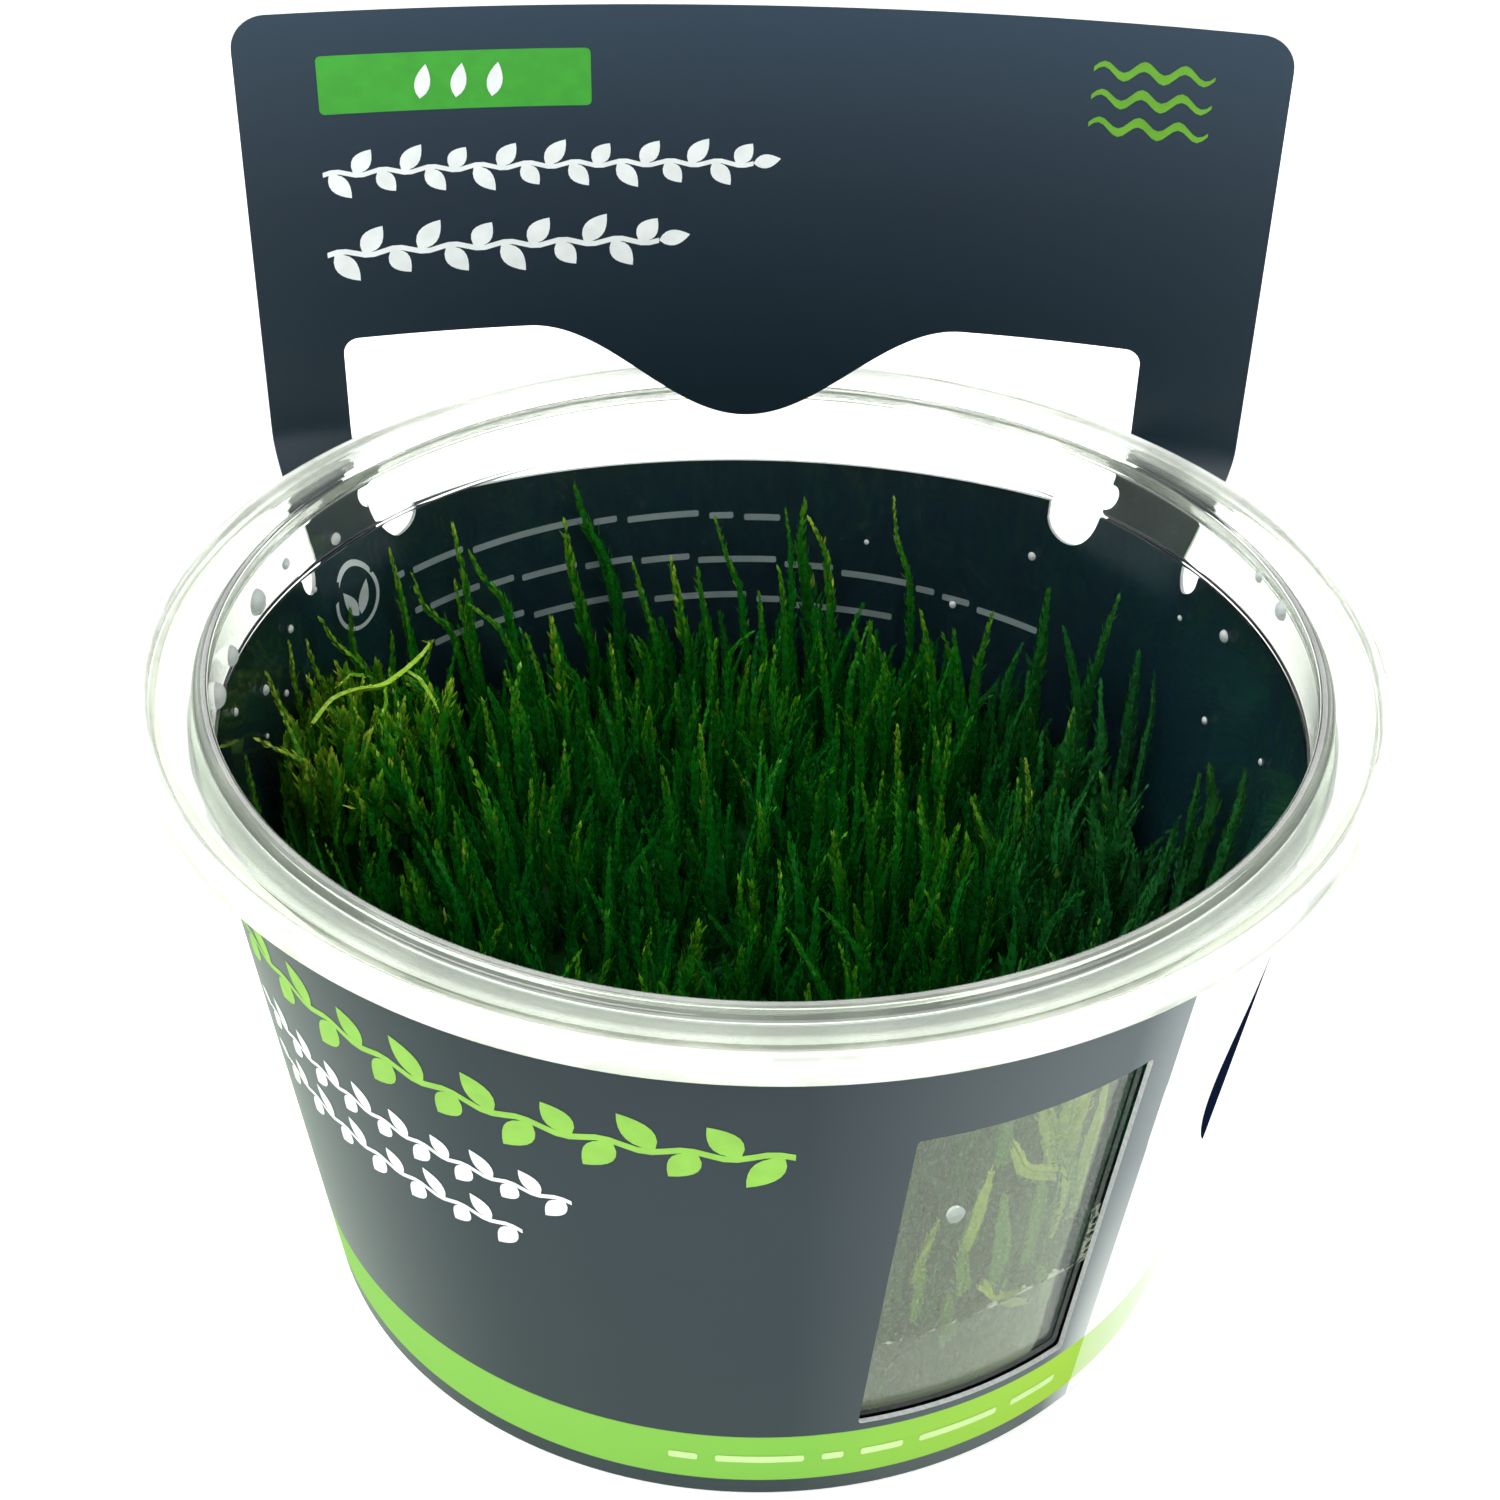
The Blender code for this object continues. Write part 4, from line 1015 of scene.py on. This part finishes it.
# Fronds pressed to the wall behind the sleeve's window: width, share of light,
# then places (degrees from the back, z) from the tip down
atWindow = [
    (1.8, 1.0, (152.3, 39.8), (149.3, 34.9), (144.7, 33.1), (142.6, 31.0), (142.8, 24.4)),
    (2.3, 0.72, (146.0, 33.5), (145.8, 30.9), (145.2, 27.0), (144.8, 22.0)),
    (2.2, 0.74, (150.9, 32.5), (150.7, 31.0), (149.7, 26.3), (148.9, 20.1)),
    (1.7, 0.74, (155.3, 29.0), (155.1, 27.1), (153.9, 21.9)),
    (1.8, 0.76, (159.8, 27.0), (159.6, 24.9), (159.3, 20.0)),
    (1.6, 0.95, (153.6, 36.0), (154.2, 31.3), (155.0, 27.2)),
    (2.0, 1.0, (144.4, 17.0), (147.9, 18.3), (151.2, 21.4)),
    (2.1, 0.7, (155.6, 21.8), (155.3, 19.5), (155.0, 16.0)),
    (2.0, 0.75, (146.4, 38.4), (142.6, 33.2), (140.8, 28.2)),
    (1.5, 1.0, (141.0, 43.0), (140.6, 38.0), (140.9, 33.0), (140.4, 26.1)),
    (2.4, 0.9, (149.0, 43.1), (146.9, 39.0), (145.0, 34.4)),
    (2.3, 0.95, (142.3, 43.2), (143.3, 38.2), (143.4, 33.7)),
    (2.2, 0.85, (145.2, 43.6), (144.8, 40.0), (144.2, 35.5)),
    (1.8, 0.6, (152.8, 42.7), (152.5, 37.2)),
    (1.8, 0.7, (144.6, 23.3), (142.6, 19.5), (141.2, 15.9)),
    (1.6, 0.85, (159.0, 31.6), (159.8, 28.6), (160.5, 25.2)),
]

# A loose yellow stem that lies over the clump by the left wall, its side twigs and a curl:
# width and share of light, then places in mm
strayStems = [
    (0.6, 0.8, [(-38.7, 4.9, 45.2), (-37.4, 7.4, 46.2), (-35.3, 8.4, 46.6), (-33.2, 9.1, 46.4),
                (-31.6, 11.4, 46.6), (-30.4, 13.7, 46.8), (-30.0, 16.5, 46.3), (-31.0, 18.2, 45.4)]),
    (0.42, 0.75, [(-31.4, 11.6, 46.5), (-30.2, 11.0, 46.1), (-29.1, 9.6, 45.3), (-28.4, 8.6, 44.6)]),
    (0.42, 0.72, [(-33.0, 9.2, 46.4), (-32.8, 8.0, 45.6), (-33.2, 7.0, 44.4), (-33.0, 6.2, 43.0)]),
    (0.35, 0.72, [(-37.2, 9.6, 46.0), (-36.2, 10.6, 46.6), (-35.0, 10.2, 46.8), (-34.9, 9.2, 46.3)]),
]


def canopy(x, y):
    # the crowd is a little higher by the left wall and sinks at the right and the back right
    rise = 4.0 * np.exp(-(((x + 37.0) / 9.0) ** 2 + ((y - 8.0) / 11.0) ** 2))
    sink = 0.34 * np.clip(x - 25.0, 0.0, 20.0) * np.clip((y + 22.0) / 18.0, 0.0, 1.0)
    back = 0.10 * np.clip(y - 24.0, 0.0, 20.0)
    return moss["canopy"] + rise - sink - back


def insideWall(points, margin):
    # keeps points off the cup's wall
    limit = innerWall(points[..., 2]) - margin
    radius = np.hypot(points[..., 0], points[..., 1])
    points[..., :2] *= np.minimum(1.0, limit / np.maximum(radius, 1e-6))[..., None]
    return points


def smoothLine(corners, stations):
    # a soft curve through the corners, evenly divided
    corners = np.array(corners, dtype=float)
    reach = np.concatenate([[0.0], np.cumsum(np.linalg.norm(np.diff(corners, axis=0), axis=1))])
    fine = np.linspace(0.0, reach[-1], 90)
    line = np.stack([np.interp(fine, reach, corners[:, i]) for i in range(3)], axis=-1)
    padded = np.vstack([np.repeat(line[:1], 4, axis=0), line, np.repeat(line[-1:], 4, axis=0)])
    soft = sum(padded[i:i + len(line)] for i in range(9)) / 9.0
    soft[0], soft[-1] = line[0], line[-1]
    spots = np.linspace(0, len(line) - 1, stations + 1)
    return np.stack([np.interp(spots, np.arange(len(line)), soft[:, i]) for i in range(3)], axis=-1)


def standingLines(stations):
    lines = []
    for y, _, _, *places in standing:
        corners = [(x, y, z) for x, z in reversed(places)]
        low = corners[0]
        slope = (corners[1][0] - low[0]) / max(2.0, corners[1][2] - low[2])
        foot = moss["foot"] + 2.0
        if low[2] > foot + 2.0:
            fall = low[2] - foot
            corners.insert(0, (low[0] - 0.4 * slope * fall, y * (1.0 - 0.02 * fall / 10.0), foot))
        lines.append(insideWall(smoothLine(corners, stations), 0.9))
    return np.array(lines)


def windowLines(stations):
    lines = []
    for width, _, *places in atWindow:
        corners = []
        for degrees, z in reversed(places):
            turn, radius = math.radians(degrees), innerWall(z) - 0.5 * width - 0.1
            corners.append((radius * math.sin(turn), radius * math.cos(turn), z))
        lines.append(insideWall(smoothLine(corners, stations), 0.5 * width))
    return np.array(lines)


def grownLines(base, tip, stations, picker):
    # bent lines from base to tip, with a bow, a hook near the tip and a slight sway
    count = len(base)
    t = np.linspace(0.0, 1.0, stations + 1)
    rise = tip - base
    length = np.linalg.norm(rise, axis=1)[:, None]
    bow, hook, sway = (picker.normal(0.0, share, (count, 2)) * length for share in (0.03, 0.045, 0.009))
    phase = picker.uniform(0.0, 6.28, count)
    late = (np.clip((t - 0.7) / 0.3, 0.0, 1.0) ** 1.6)[None, :]
    wave = np.sin(t[None, :] * 9.0 + phase[:, None])
    line = base[:, None, :] + rise[:, None, :] * t[None, :, None]
    for i in (0, 1):
        line[:, :, i] += bow[:, i:i + 1] * np.sin(math.pi * t)[None, :] + hook[:, i:i + 1] * late
        line[:, :, i] += sway[:, i:i + 1] * wave
    return insideWall(line, 0.7)


def clothe(line, width, light, rows, fall, picker, leaf=1.0, teeth=0.2, smooth=False):
    # a bundle of shoots: a three-sided stem along each line and rows of leaves laid close to it;
    # leaf scales the leaves, teeth is the share of them that stands out, smooth shoots are nearly all stem
    count, stations = line.shape[0], line.shape[1] - 1
    t = np.linspace(0.0, 1.0, stations + 1)
    tangent = np.gradient(line, axis=1)
    tangent /= np.linalg.norm(tangent, axis=2)[..., None]
    across = np.array([1.0, 0.0, 0.0]) + picker.normal(0.0, 0.4, (count, 1, 3))
    a = across - np.sum(across * tangent, axis=2)[..., None] * tangent
    a /= np.linalg.norm(a, axis=2)[..., None]
    b = np.cross(tangent, a)
    # widest at 0.4 to 0.58 of its length and pointed at the tip
    outline = np.minimum(1.0, (1.0 - t) / 0.42 + 0.05) ** 0.7 * (0.75 + 0.25 * np.minimum(1.0, t / 0.4))
    half = 0.5 * width[:, None] * outline[None, :] * picker.uniform(0.88, 1.12, (count, stations + 1))
    # painted light and shade: each shoot's share of light, fading further down from its tip
    lit = light[:, None] * np.clip(1.0 - (line[:, -1:, 2] - line[:, :, 2]) / fall, 0.0, 1.0) ** 1.3
    phase = picker.uniform(0.0, 6.28, (count, 1))

    def outwardAt(turn):
        return np.cos(turn)[..., None] * a + np.sin(turn)[..., None] * b

    core = half * (0.9 if smooth else moss["core"])
    sides = [line + core[..., None] * outwardAt(phase + 2.0 * math.pi * k / 3.0) for k in range(3)]
    stem = np.stack(sides, axis=2)
    number = np.arange(count * (stations + 1) * 3).reshape(stem.shape[:3])
    quads = [np.stack([number[:, :-1, k], number[:, :-1, n], number[:, 1:, n], number[:, 1:, k]],
                      axis=-1).reshape(-1, 4) for k, n in ((0, 1), (1, 2), (2, 0))]
    points = [stem.reshape(-1, 3)]
    shades = [np.repeat((1.0 if smooth else 0.6) * lit[..., None], 3, axis=2).reshape(-1)]

    triangles = []
    cells = np.arange(count * (stations + 1)) * 4 + len(points[0])
    size = np.clip(width, 0.9, 1.7)[:, None] / 1.3
    for row in range(rows):
        outward = outwardAt(phase + 0.9 * stations * t[None, :] / 6.0 + 2.0 * math.pi * row / rows)
        vary = picker.uniform(0.7, 1.25, (count, stations + 1))
        reach = leaf * moss["leafLength"] * size * vary * (0.55 + 0.45 * outline[None, :])
        # most leaves lie close, a few stand out and show as teeth
        out = half - core + reach * np.where(
            picker.uniform(0.0, 1.0, vary.shape) < teeth, picker.uniform(*moss["teethLeaf"], vary.shape),
            moss["closeLeaf"])
        start = line + outward * (core * 0.8)[..., None]
        start = start + tangent * (picker.uniform(-0.4, 0.4, vary.shape))[..., None]
        heading = tangent * reach[..., None] + outward * out[..., None]
        wide = (reach * moss["leafWidth"])[..., None]
        belly = start + heading * moss["belly"] + outward * (reach * 0.07)[..., None] - outward * wide * 0.3
        aside = np.cross(tangent, outward) * wide
        points.append(np.stack([start, belly + aside, start + heading, belly - aside], axis=2).reshape(-1, 3))
        triangles += [np.stack([cells, cells + 1, cells + 2], axis=-1),
                      np.stack([cells, cells + 2, cells + 3], axis=-1)]
        leafLight = lit + light[:, None] * picker.uniform(-0.12, 0.15, vary.shape)
        # painted glints: here and there a leaf is coloured brighter, as if it caught the light
        glints = 0.0 if smooth else moss["glints"]
        leafLight += np.where(picker.uniform(0.0, 1.0, vary.shape) < glints, 0.5, 0.0) * np.sqrt(outline)
        # painted light and shade within each leaf: darker at its foot, lighter at its tip, more so on lit
        # shoots
        lift = np.array([-0.12, 0.0, 0.2, 0.0])
        shades.append((leafLight[..., None] + lift * (0.3 + lit[..., None])).reshape(-1))
        cells = cells + count * (stations + 1) * 4
    faces = np.vstack(quads).tolist() + np.vstack(triangles).tolist()
    return np.vstack(points), faces, np.concatenate(shades)


def mossGreen():
    # living moss: each leaf one cell thick and wet; painted shade darkens it down in the crowd and painted
    # light makes it yellow-green at the tips
    made, add, use = newMaterial("living moss leaves", {"Roughness": 0.42, "IOR": 1.42})
    lit = add("Attribute", attribute_name="lit").outputs["Fac"]
    green = add("ValToRGB", [lit], moss["greens"])
    place = add("TexCoord").outputs["Object"]
    x = add("SeparateXYZ", [place]).outputs["X"]
    # the shoots by the left wall are older and browner
    older = add("Math MULTIPLY", [add("MapRange", [x, *moss["older"]]), add("Math MINIMUM", [lit, 0.8])])
    # those at the right are bluer, from the light off the navy card
    shaded = add("MapRange", [x, *moss["shaded"]])
    bluer = add("Mix", {0: shaded, 6: green, 7: moss["blueGreen"]}, data_type="RGBA")
    # wet specks of about 0.3 mm shine, the rest is nearly matt
    wet = add("TexNoise", {"Vector": place, "Scale": 2600.0, "Detail": 0.0})
    use({"Base Color": add("Mix", {0: older, 6: bluer, 7: moss["olive"]}, data_type="RGBA"),
         "Specular IOR Level": add("MapRange", [wet, 0.56, 0.68, 0.04, 0.9])})
    return made


def oldMoss():
    # felted old stems: matt and nearly black-green
    made, add, use = newMaterial("old moss stems", {"Roughness": 0.8, "Specular IOR Level": 0.1})
    felt = add("TexNoise", {"Vector": add("TexCoord").outputs["Object"], "Scale": 700.0, "Detail": 4.0})
    use({"Base Color": add("ValToRGB", [felt], moss["mat"])})
    return made


def mossPiece(name, bundle, surface):
    points, faces, shades = bundle
    piece = makePiece(name, points, faces, [surface], "moss")
    layer = piece.data.attributes.new("lit", "FLOAT", "POINT")
    layer.data.foreach_set("value", np.clip(shades, 0.0, 1.0).astype(np.float32))


def scatter(count, picker, most):
    # evenly random places in the round bed
    radius = most * np.sqrt(picker.uniform(0.0, 1.0, count))
    turn = picker.uniform(0.0, 2.0 * math.pi, count)
    return radius * np.sin(turn), radius * np.cos(turn)


def leanOut(base, tip, picker, spread):
    # shoots on the left lean to the left, the rest stand nearly upright
    rise = tip[:, 2] - base[:, 2]
    slope = np.where(base[:, 0] < 0.0, 0.0058, 0.0016) * base[:, 0]
    tip[:, 0] += rise * (slope + picker.normal(0.0, spread, len(base)))
    tip[:, 1] += rise * (0.0016 * base[:, 1] + picker.normal(0.0, spread, len(base)))


def growTall(picker):
    x, y = scatter(moss["randomTall"], picker, 38.0)
    keep = (x < 24.0) | (picker.uniform(0.0, 1.0, len(x)) < 0.35)
    x, y = x[keep], y[keep]
    height = canopy(x, y) + picker.uniform(2.0, 9.0, len(x)) - 0.04 * np.abs(y)
    base = np.stack([x, y, np.full(len(x), moss["foot"] + 2.0)], axis=-1)
    tip = np.stack([x, y, np.clip(height, 30.0, 46.0)], axis=-1)
    leanOut(base, tip, picker, 0.05)
    return insideWall(base, 1.2), insideWall(tip, 1.0)


def growCrowd(picker):
    x, y = scatter(moss["crowd"], picker, 39.6)
    height = canopy(x, y) + picker.normal(-1.0, 2.1, len(x))
    base = np.stack([x, y, height - picker.uniform(13.0, 16.0, len(x))], axis=-1)
    tip = np.stack([x, y, height], axis=-1)
    leanOut(base, tip, picker, 0.045)
    return insideWall(base, 1.0), insideWall(tip, 0.8)


def growClump(picker):
    # a thick tuft by the left wall, its short shoots pointing every way
    count = moss["clump"]
    x, y, z, rise = (picker.uniform(low, high, count) for low, high in (
        (-41.5, -28.0), (0.0, 17.0), (34.0, 38.0), (4.5, 9.0)))
    base = np.stack([x, y, z], axis=-1)
    sideways = rise * picker.normal(-0.12, 0.22, count)
    onward = rise * picker.normal(0.0, 0.2, count)
    tip = base + np.stack([sideways, onward, rise], axis=-1)
    return insideWall(base, 1.4), insideWall(tip, 0.9)


def growByWindow(picker):
    # shoots behind the sleeve's window run down into the gel
    count = moss["wallShoots"]
    turn = np.radians(picker.uniform(132.0, 172.0, count))
    foot = picker.uniform(8.0, 19.0, count)
    radius = innerWall(foot) - 2.6 - 8.0 * picker.uniform(0.0, 1.0, count) ** 1.5
    base = np.stack([radius * np.sin(turn), radius * np.cos(turn), foot], axis=-1)
    tip = base.copy()
    tip[:, 2] = np.clip(foot + picker.uniform(9.0, 24.0, count), 20.0, 40.0)
    tip[:, 0] += picker.normal(0.0, 1.2, count) + 0.05 * base[:, 0]
    tip[:, 1] += picker.normal(0.0, 0.8, count) + 0.05 * base[:, 1]
    return insideWall(base, 2.2), insideWall(tip, 2.2)


def frondTrios(picker, stations):
    # each frond by the window is three thin strands side by side, apart at the foot
    fronds = windowLines(stations)
    width = np.array([row[0] for row in atWindow])
    light = np.array([row[1] for row in atWindow])
    trio = []
    for side in (-0.16, 0.0, 0.16):
        sway = side * width[:, None] * np.linspace(1.4, 0.4, stations + 1)
        sway += picker.normal(0.0, 0.05, (len(width), stations + 1))
        strand = fronds.copy()
        strand[:, :, 0] += 0.8 * sway
        strand[:, :, 1] += 0.6 * sway
        strand[:, :, 2] += picker.normal(0.0, 0.25, (len(width), 1))
        trio.append(insideWall(strand, 0.45))
    return np.vstack(trio), np.tile(0.42 * width, 3), np.tile(light, 3)


def bedBody(picker):
    # the dense mat of old stems under the living shoots, which hides the gel from above
    rings, segments, drop = 26, 96, moss["matDrop"]
    radius = innerWall(27.0) - 1.6
    points = []
    for number in range(1, rings + 1):
        share = number / rings
        for x, y, _ in ring(share, 0.0, segments):
            uneven = 1.6 * noise.noise(Vector((x * 9.0, y * 9.0, 2.0)))
            z = float(canopy(x * radius, y * radius)) - drop + uneven
            z += 0.8 * picker.uniform(-1.0, 1.0) - 3.0 * max(0.0, share - 0.85) / 0.15
            points.append((x * radius, y * radius, z))
    points += ring(*moss["matFoot"], segments)
    points += [(0.0, 0.0, moss["canopy"] - drop), (0.0, 0.0, moss["matFoot"][1])]
    return points, ringFaces(rings + 1, segments, False)


def growMoss():
    picker = np.random.default_rng(moss["seed"])
    leafy = mossGreen()
    width, light = (np.array([row[i] for row in standing]) for i in (1, 2))
    mossPiece("moss_standing", clothe(standingLines(28), width, light, 5, 26.0, picker, 0.8, 0.14), leafy)
    base, tip = growTall(picker)
    lines = grownLines(base, tip, 22, picker)
    light = picker.uniform(0.2, 0.62, len(base))
    width = picker.uniform(1.1, 2.0, len(base))
    mossPiece("moss_tall", clothe(lines, width, light, 4, 26.0, picker, 0.7, 0.1), leafy)
    base, tip = growClump(picker)
    lines = grownLines(base, tip, 14, picker)
    width = picker.uniform(1.1, 2.2, len(base))
    light = picker.uniform(0.4, 0.8, len(base))
    mossPiece("moss_clump", clothe(lines, width, light, 4, 18.0, picker, 0.7, 0.15), leafy)
    lines = np.array([smoothLine(strand, 24) for _, _, strand in strayStems])
    width, light = (np.array([row[i] for row in strayStems]) for i in (0, 1))
    mossPiece("moss_stray_stems", clothe(lines, width, light, 3, 900.0, picker, 0.35, 0.3, True), leafy)
    base, tip = growCrowd(picker)
    third = len(base) // 3
    for number in range(3):
        part = slice(number * third, (number + 1) * third)
        lines = grownLines(base[part], tip[part], 15, picker)
        light = picker.uniform(0.06, 0.28, third)
        width = picker.uniform(1.3, 2.2, third)
        mossPiece("moss_crowd_" + str(number + 1),
                  clothe(lines, width, light, 4, 40.0, picker, 0.62, 0.08), leafy)
    base, tip = growByWindow(picker)
    light = picker.uniform(0.1, 0.4, len(base))
    lines = grownLines(base, tip, 18, picker)
    width = picker.uniform(1.0, 1.6, len(base))
    mossPiece("moss_by_window", clothe(lines, width, light, 4, 24.0, picker), leafy)
    mossPiece("moss_fronds", clothe(*frondTrios(picker, 20), 4, 90.0, picker, 0.6, 0.3, True), leafy)
    makePiece("moss_mat", *bedBody(random.Random(moss["matSeed"])), [oldMoss()], "moss")


growMoss()
print("moss grown")


# Stage: white table and soft white surroundings, as for a catalogue picture
stage = {
    "table": "#f8f8f7",
    "halfSize": 12000.0,
    "glow": 0.25,          # the table is opal acrylic, lit from below
    "sky": 1.15,
    "skyTones": [(0.0, "#f4f6f6"), (0.3, "#eef0f0"), (1.0, "#ffffff")],
    # below the table's level: what polished sides reflect, with a dark flag on the right
    "under": "#e8ffd2",
    "flag": (38.0, 79.5, 0.6),        # degrees from +Y, from and to, and how soft its sides are
    "flagColour": "#1f332a",
    "horizon": -0.02,
    "aim": (0.0, 0.0, 0.04),          # m
    # place and size in m, power in watts
    "lamps": {"key": ((-0.35, -0.15, 0.75), 0.6, 5.0), "fill": ((0.55, -0.35, 0.5), 0.5, 1.5),
              "behind": ((0.0, 0.95, 0.68), 0.9, 6.0)},
}


def addStage():
    scene = bpy.context.scene
    scene.view_settings.view_transform = "Standard"
    acrylic, *_ = newMaterial("white acrylic table", {
        "Base Color": stage["table"], "Roughness": 0.6,
        "Emission Color": stage["table"], "Emission Strength": stage["glow"]})
    half = stage["halfSize"]
    floor = makePiece("table", [(-half, -half, 0), (half, -half, 0), (half, half, 0), (-half, half, 0)],
                      [(0, 1, 2, 3)], [acrylic])
    floor.visible_glossy = False
    scene.world = bpy.data.worlds.new("studio")
    scene.world.use_nodes = True
    tree = scene.world.node_tree
    add = partial(addNode, tree)
    parts = add("SeparateXYZ", [add("TexCoord").outputs["Generated"]]).outputs
    sky = add("ValToRGB", [parts["Z"]], stage["skyTones"])
    azimuth = add("Math DEGREES", [add("Math ARCTAN2", [parts["X"], parts["Y"]])])
    flag = between(add, azimuth, *stage["flag"])
    under = add("Mix", {0: flag, 6: stage["under"], 7: stage["flagColour"]}, data_type="RGBA")
    lower = add("Math LESS_THAN", [parts["Z"], stage["horizon"]])
    colour = add("Mix", {0: lower, 6: sky, 7: under}, data_type="RGBA")
    feed(tree, tree.nodes["Background"], {"Color": colour, "Strength": stage["sky"]})
    for name, (place, size, power) in stage["lamps"].items():
        data = bpy.data.lights.new(name, "AREA")
        data.shape = "DISK"
        data.size = size
        data.energy = power
        lamp = newObject(name, data)
        lamp.location = place
        lamp.rotation_euler = (Vector(stage["aim"]) - Vector(place)).to_track_quat("-Z", "Y").to_euler()


addStage()
print("stage lit")
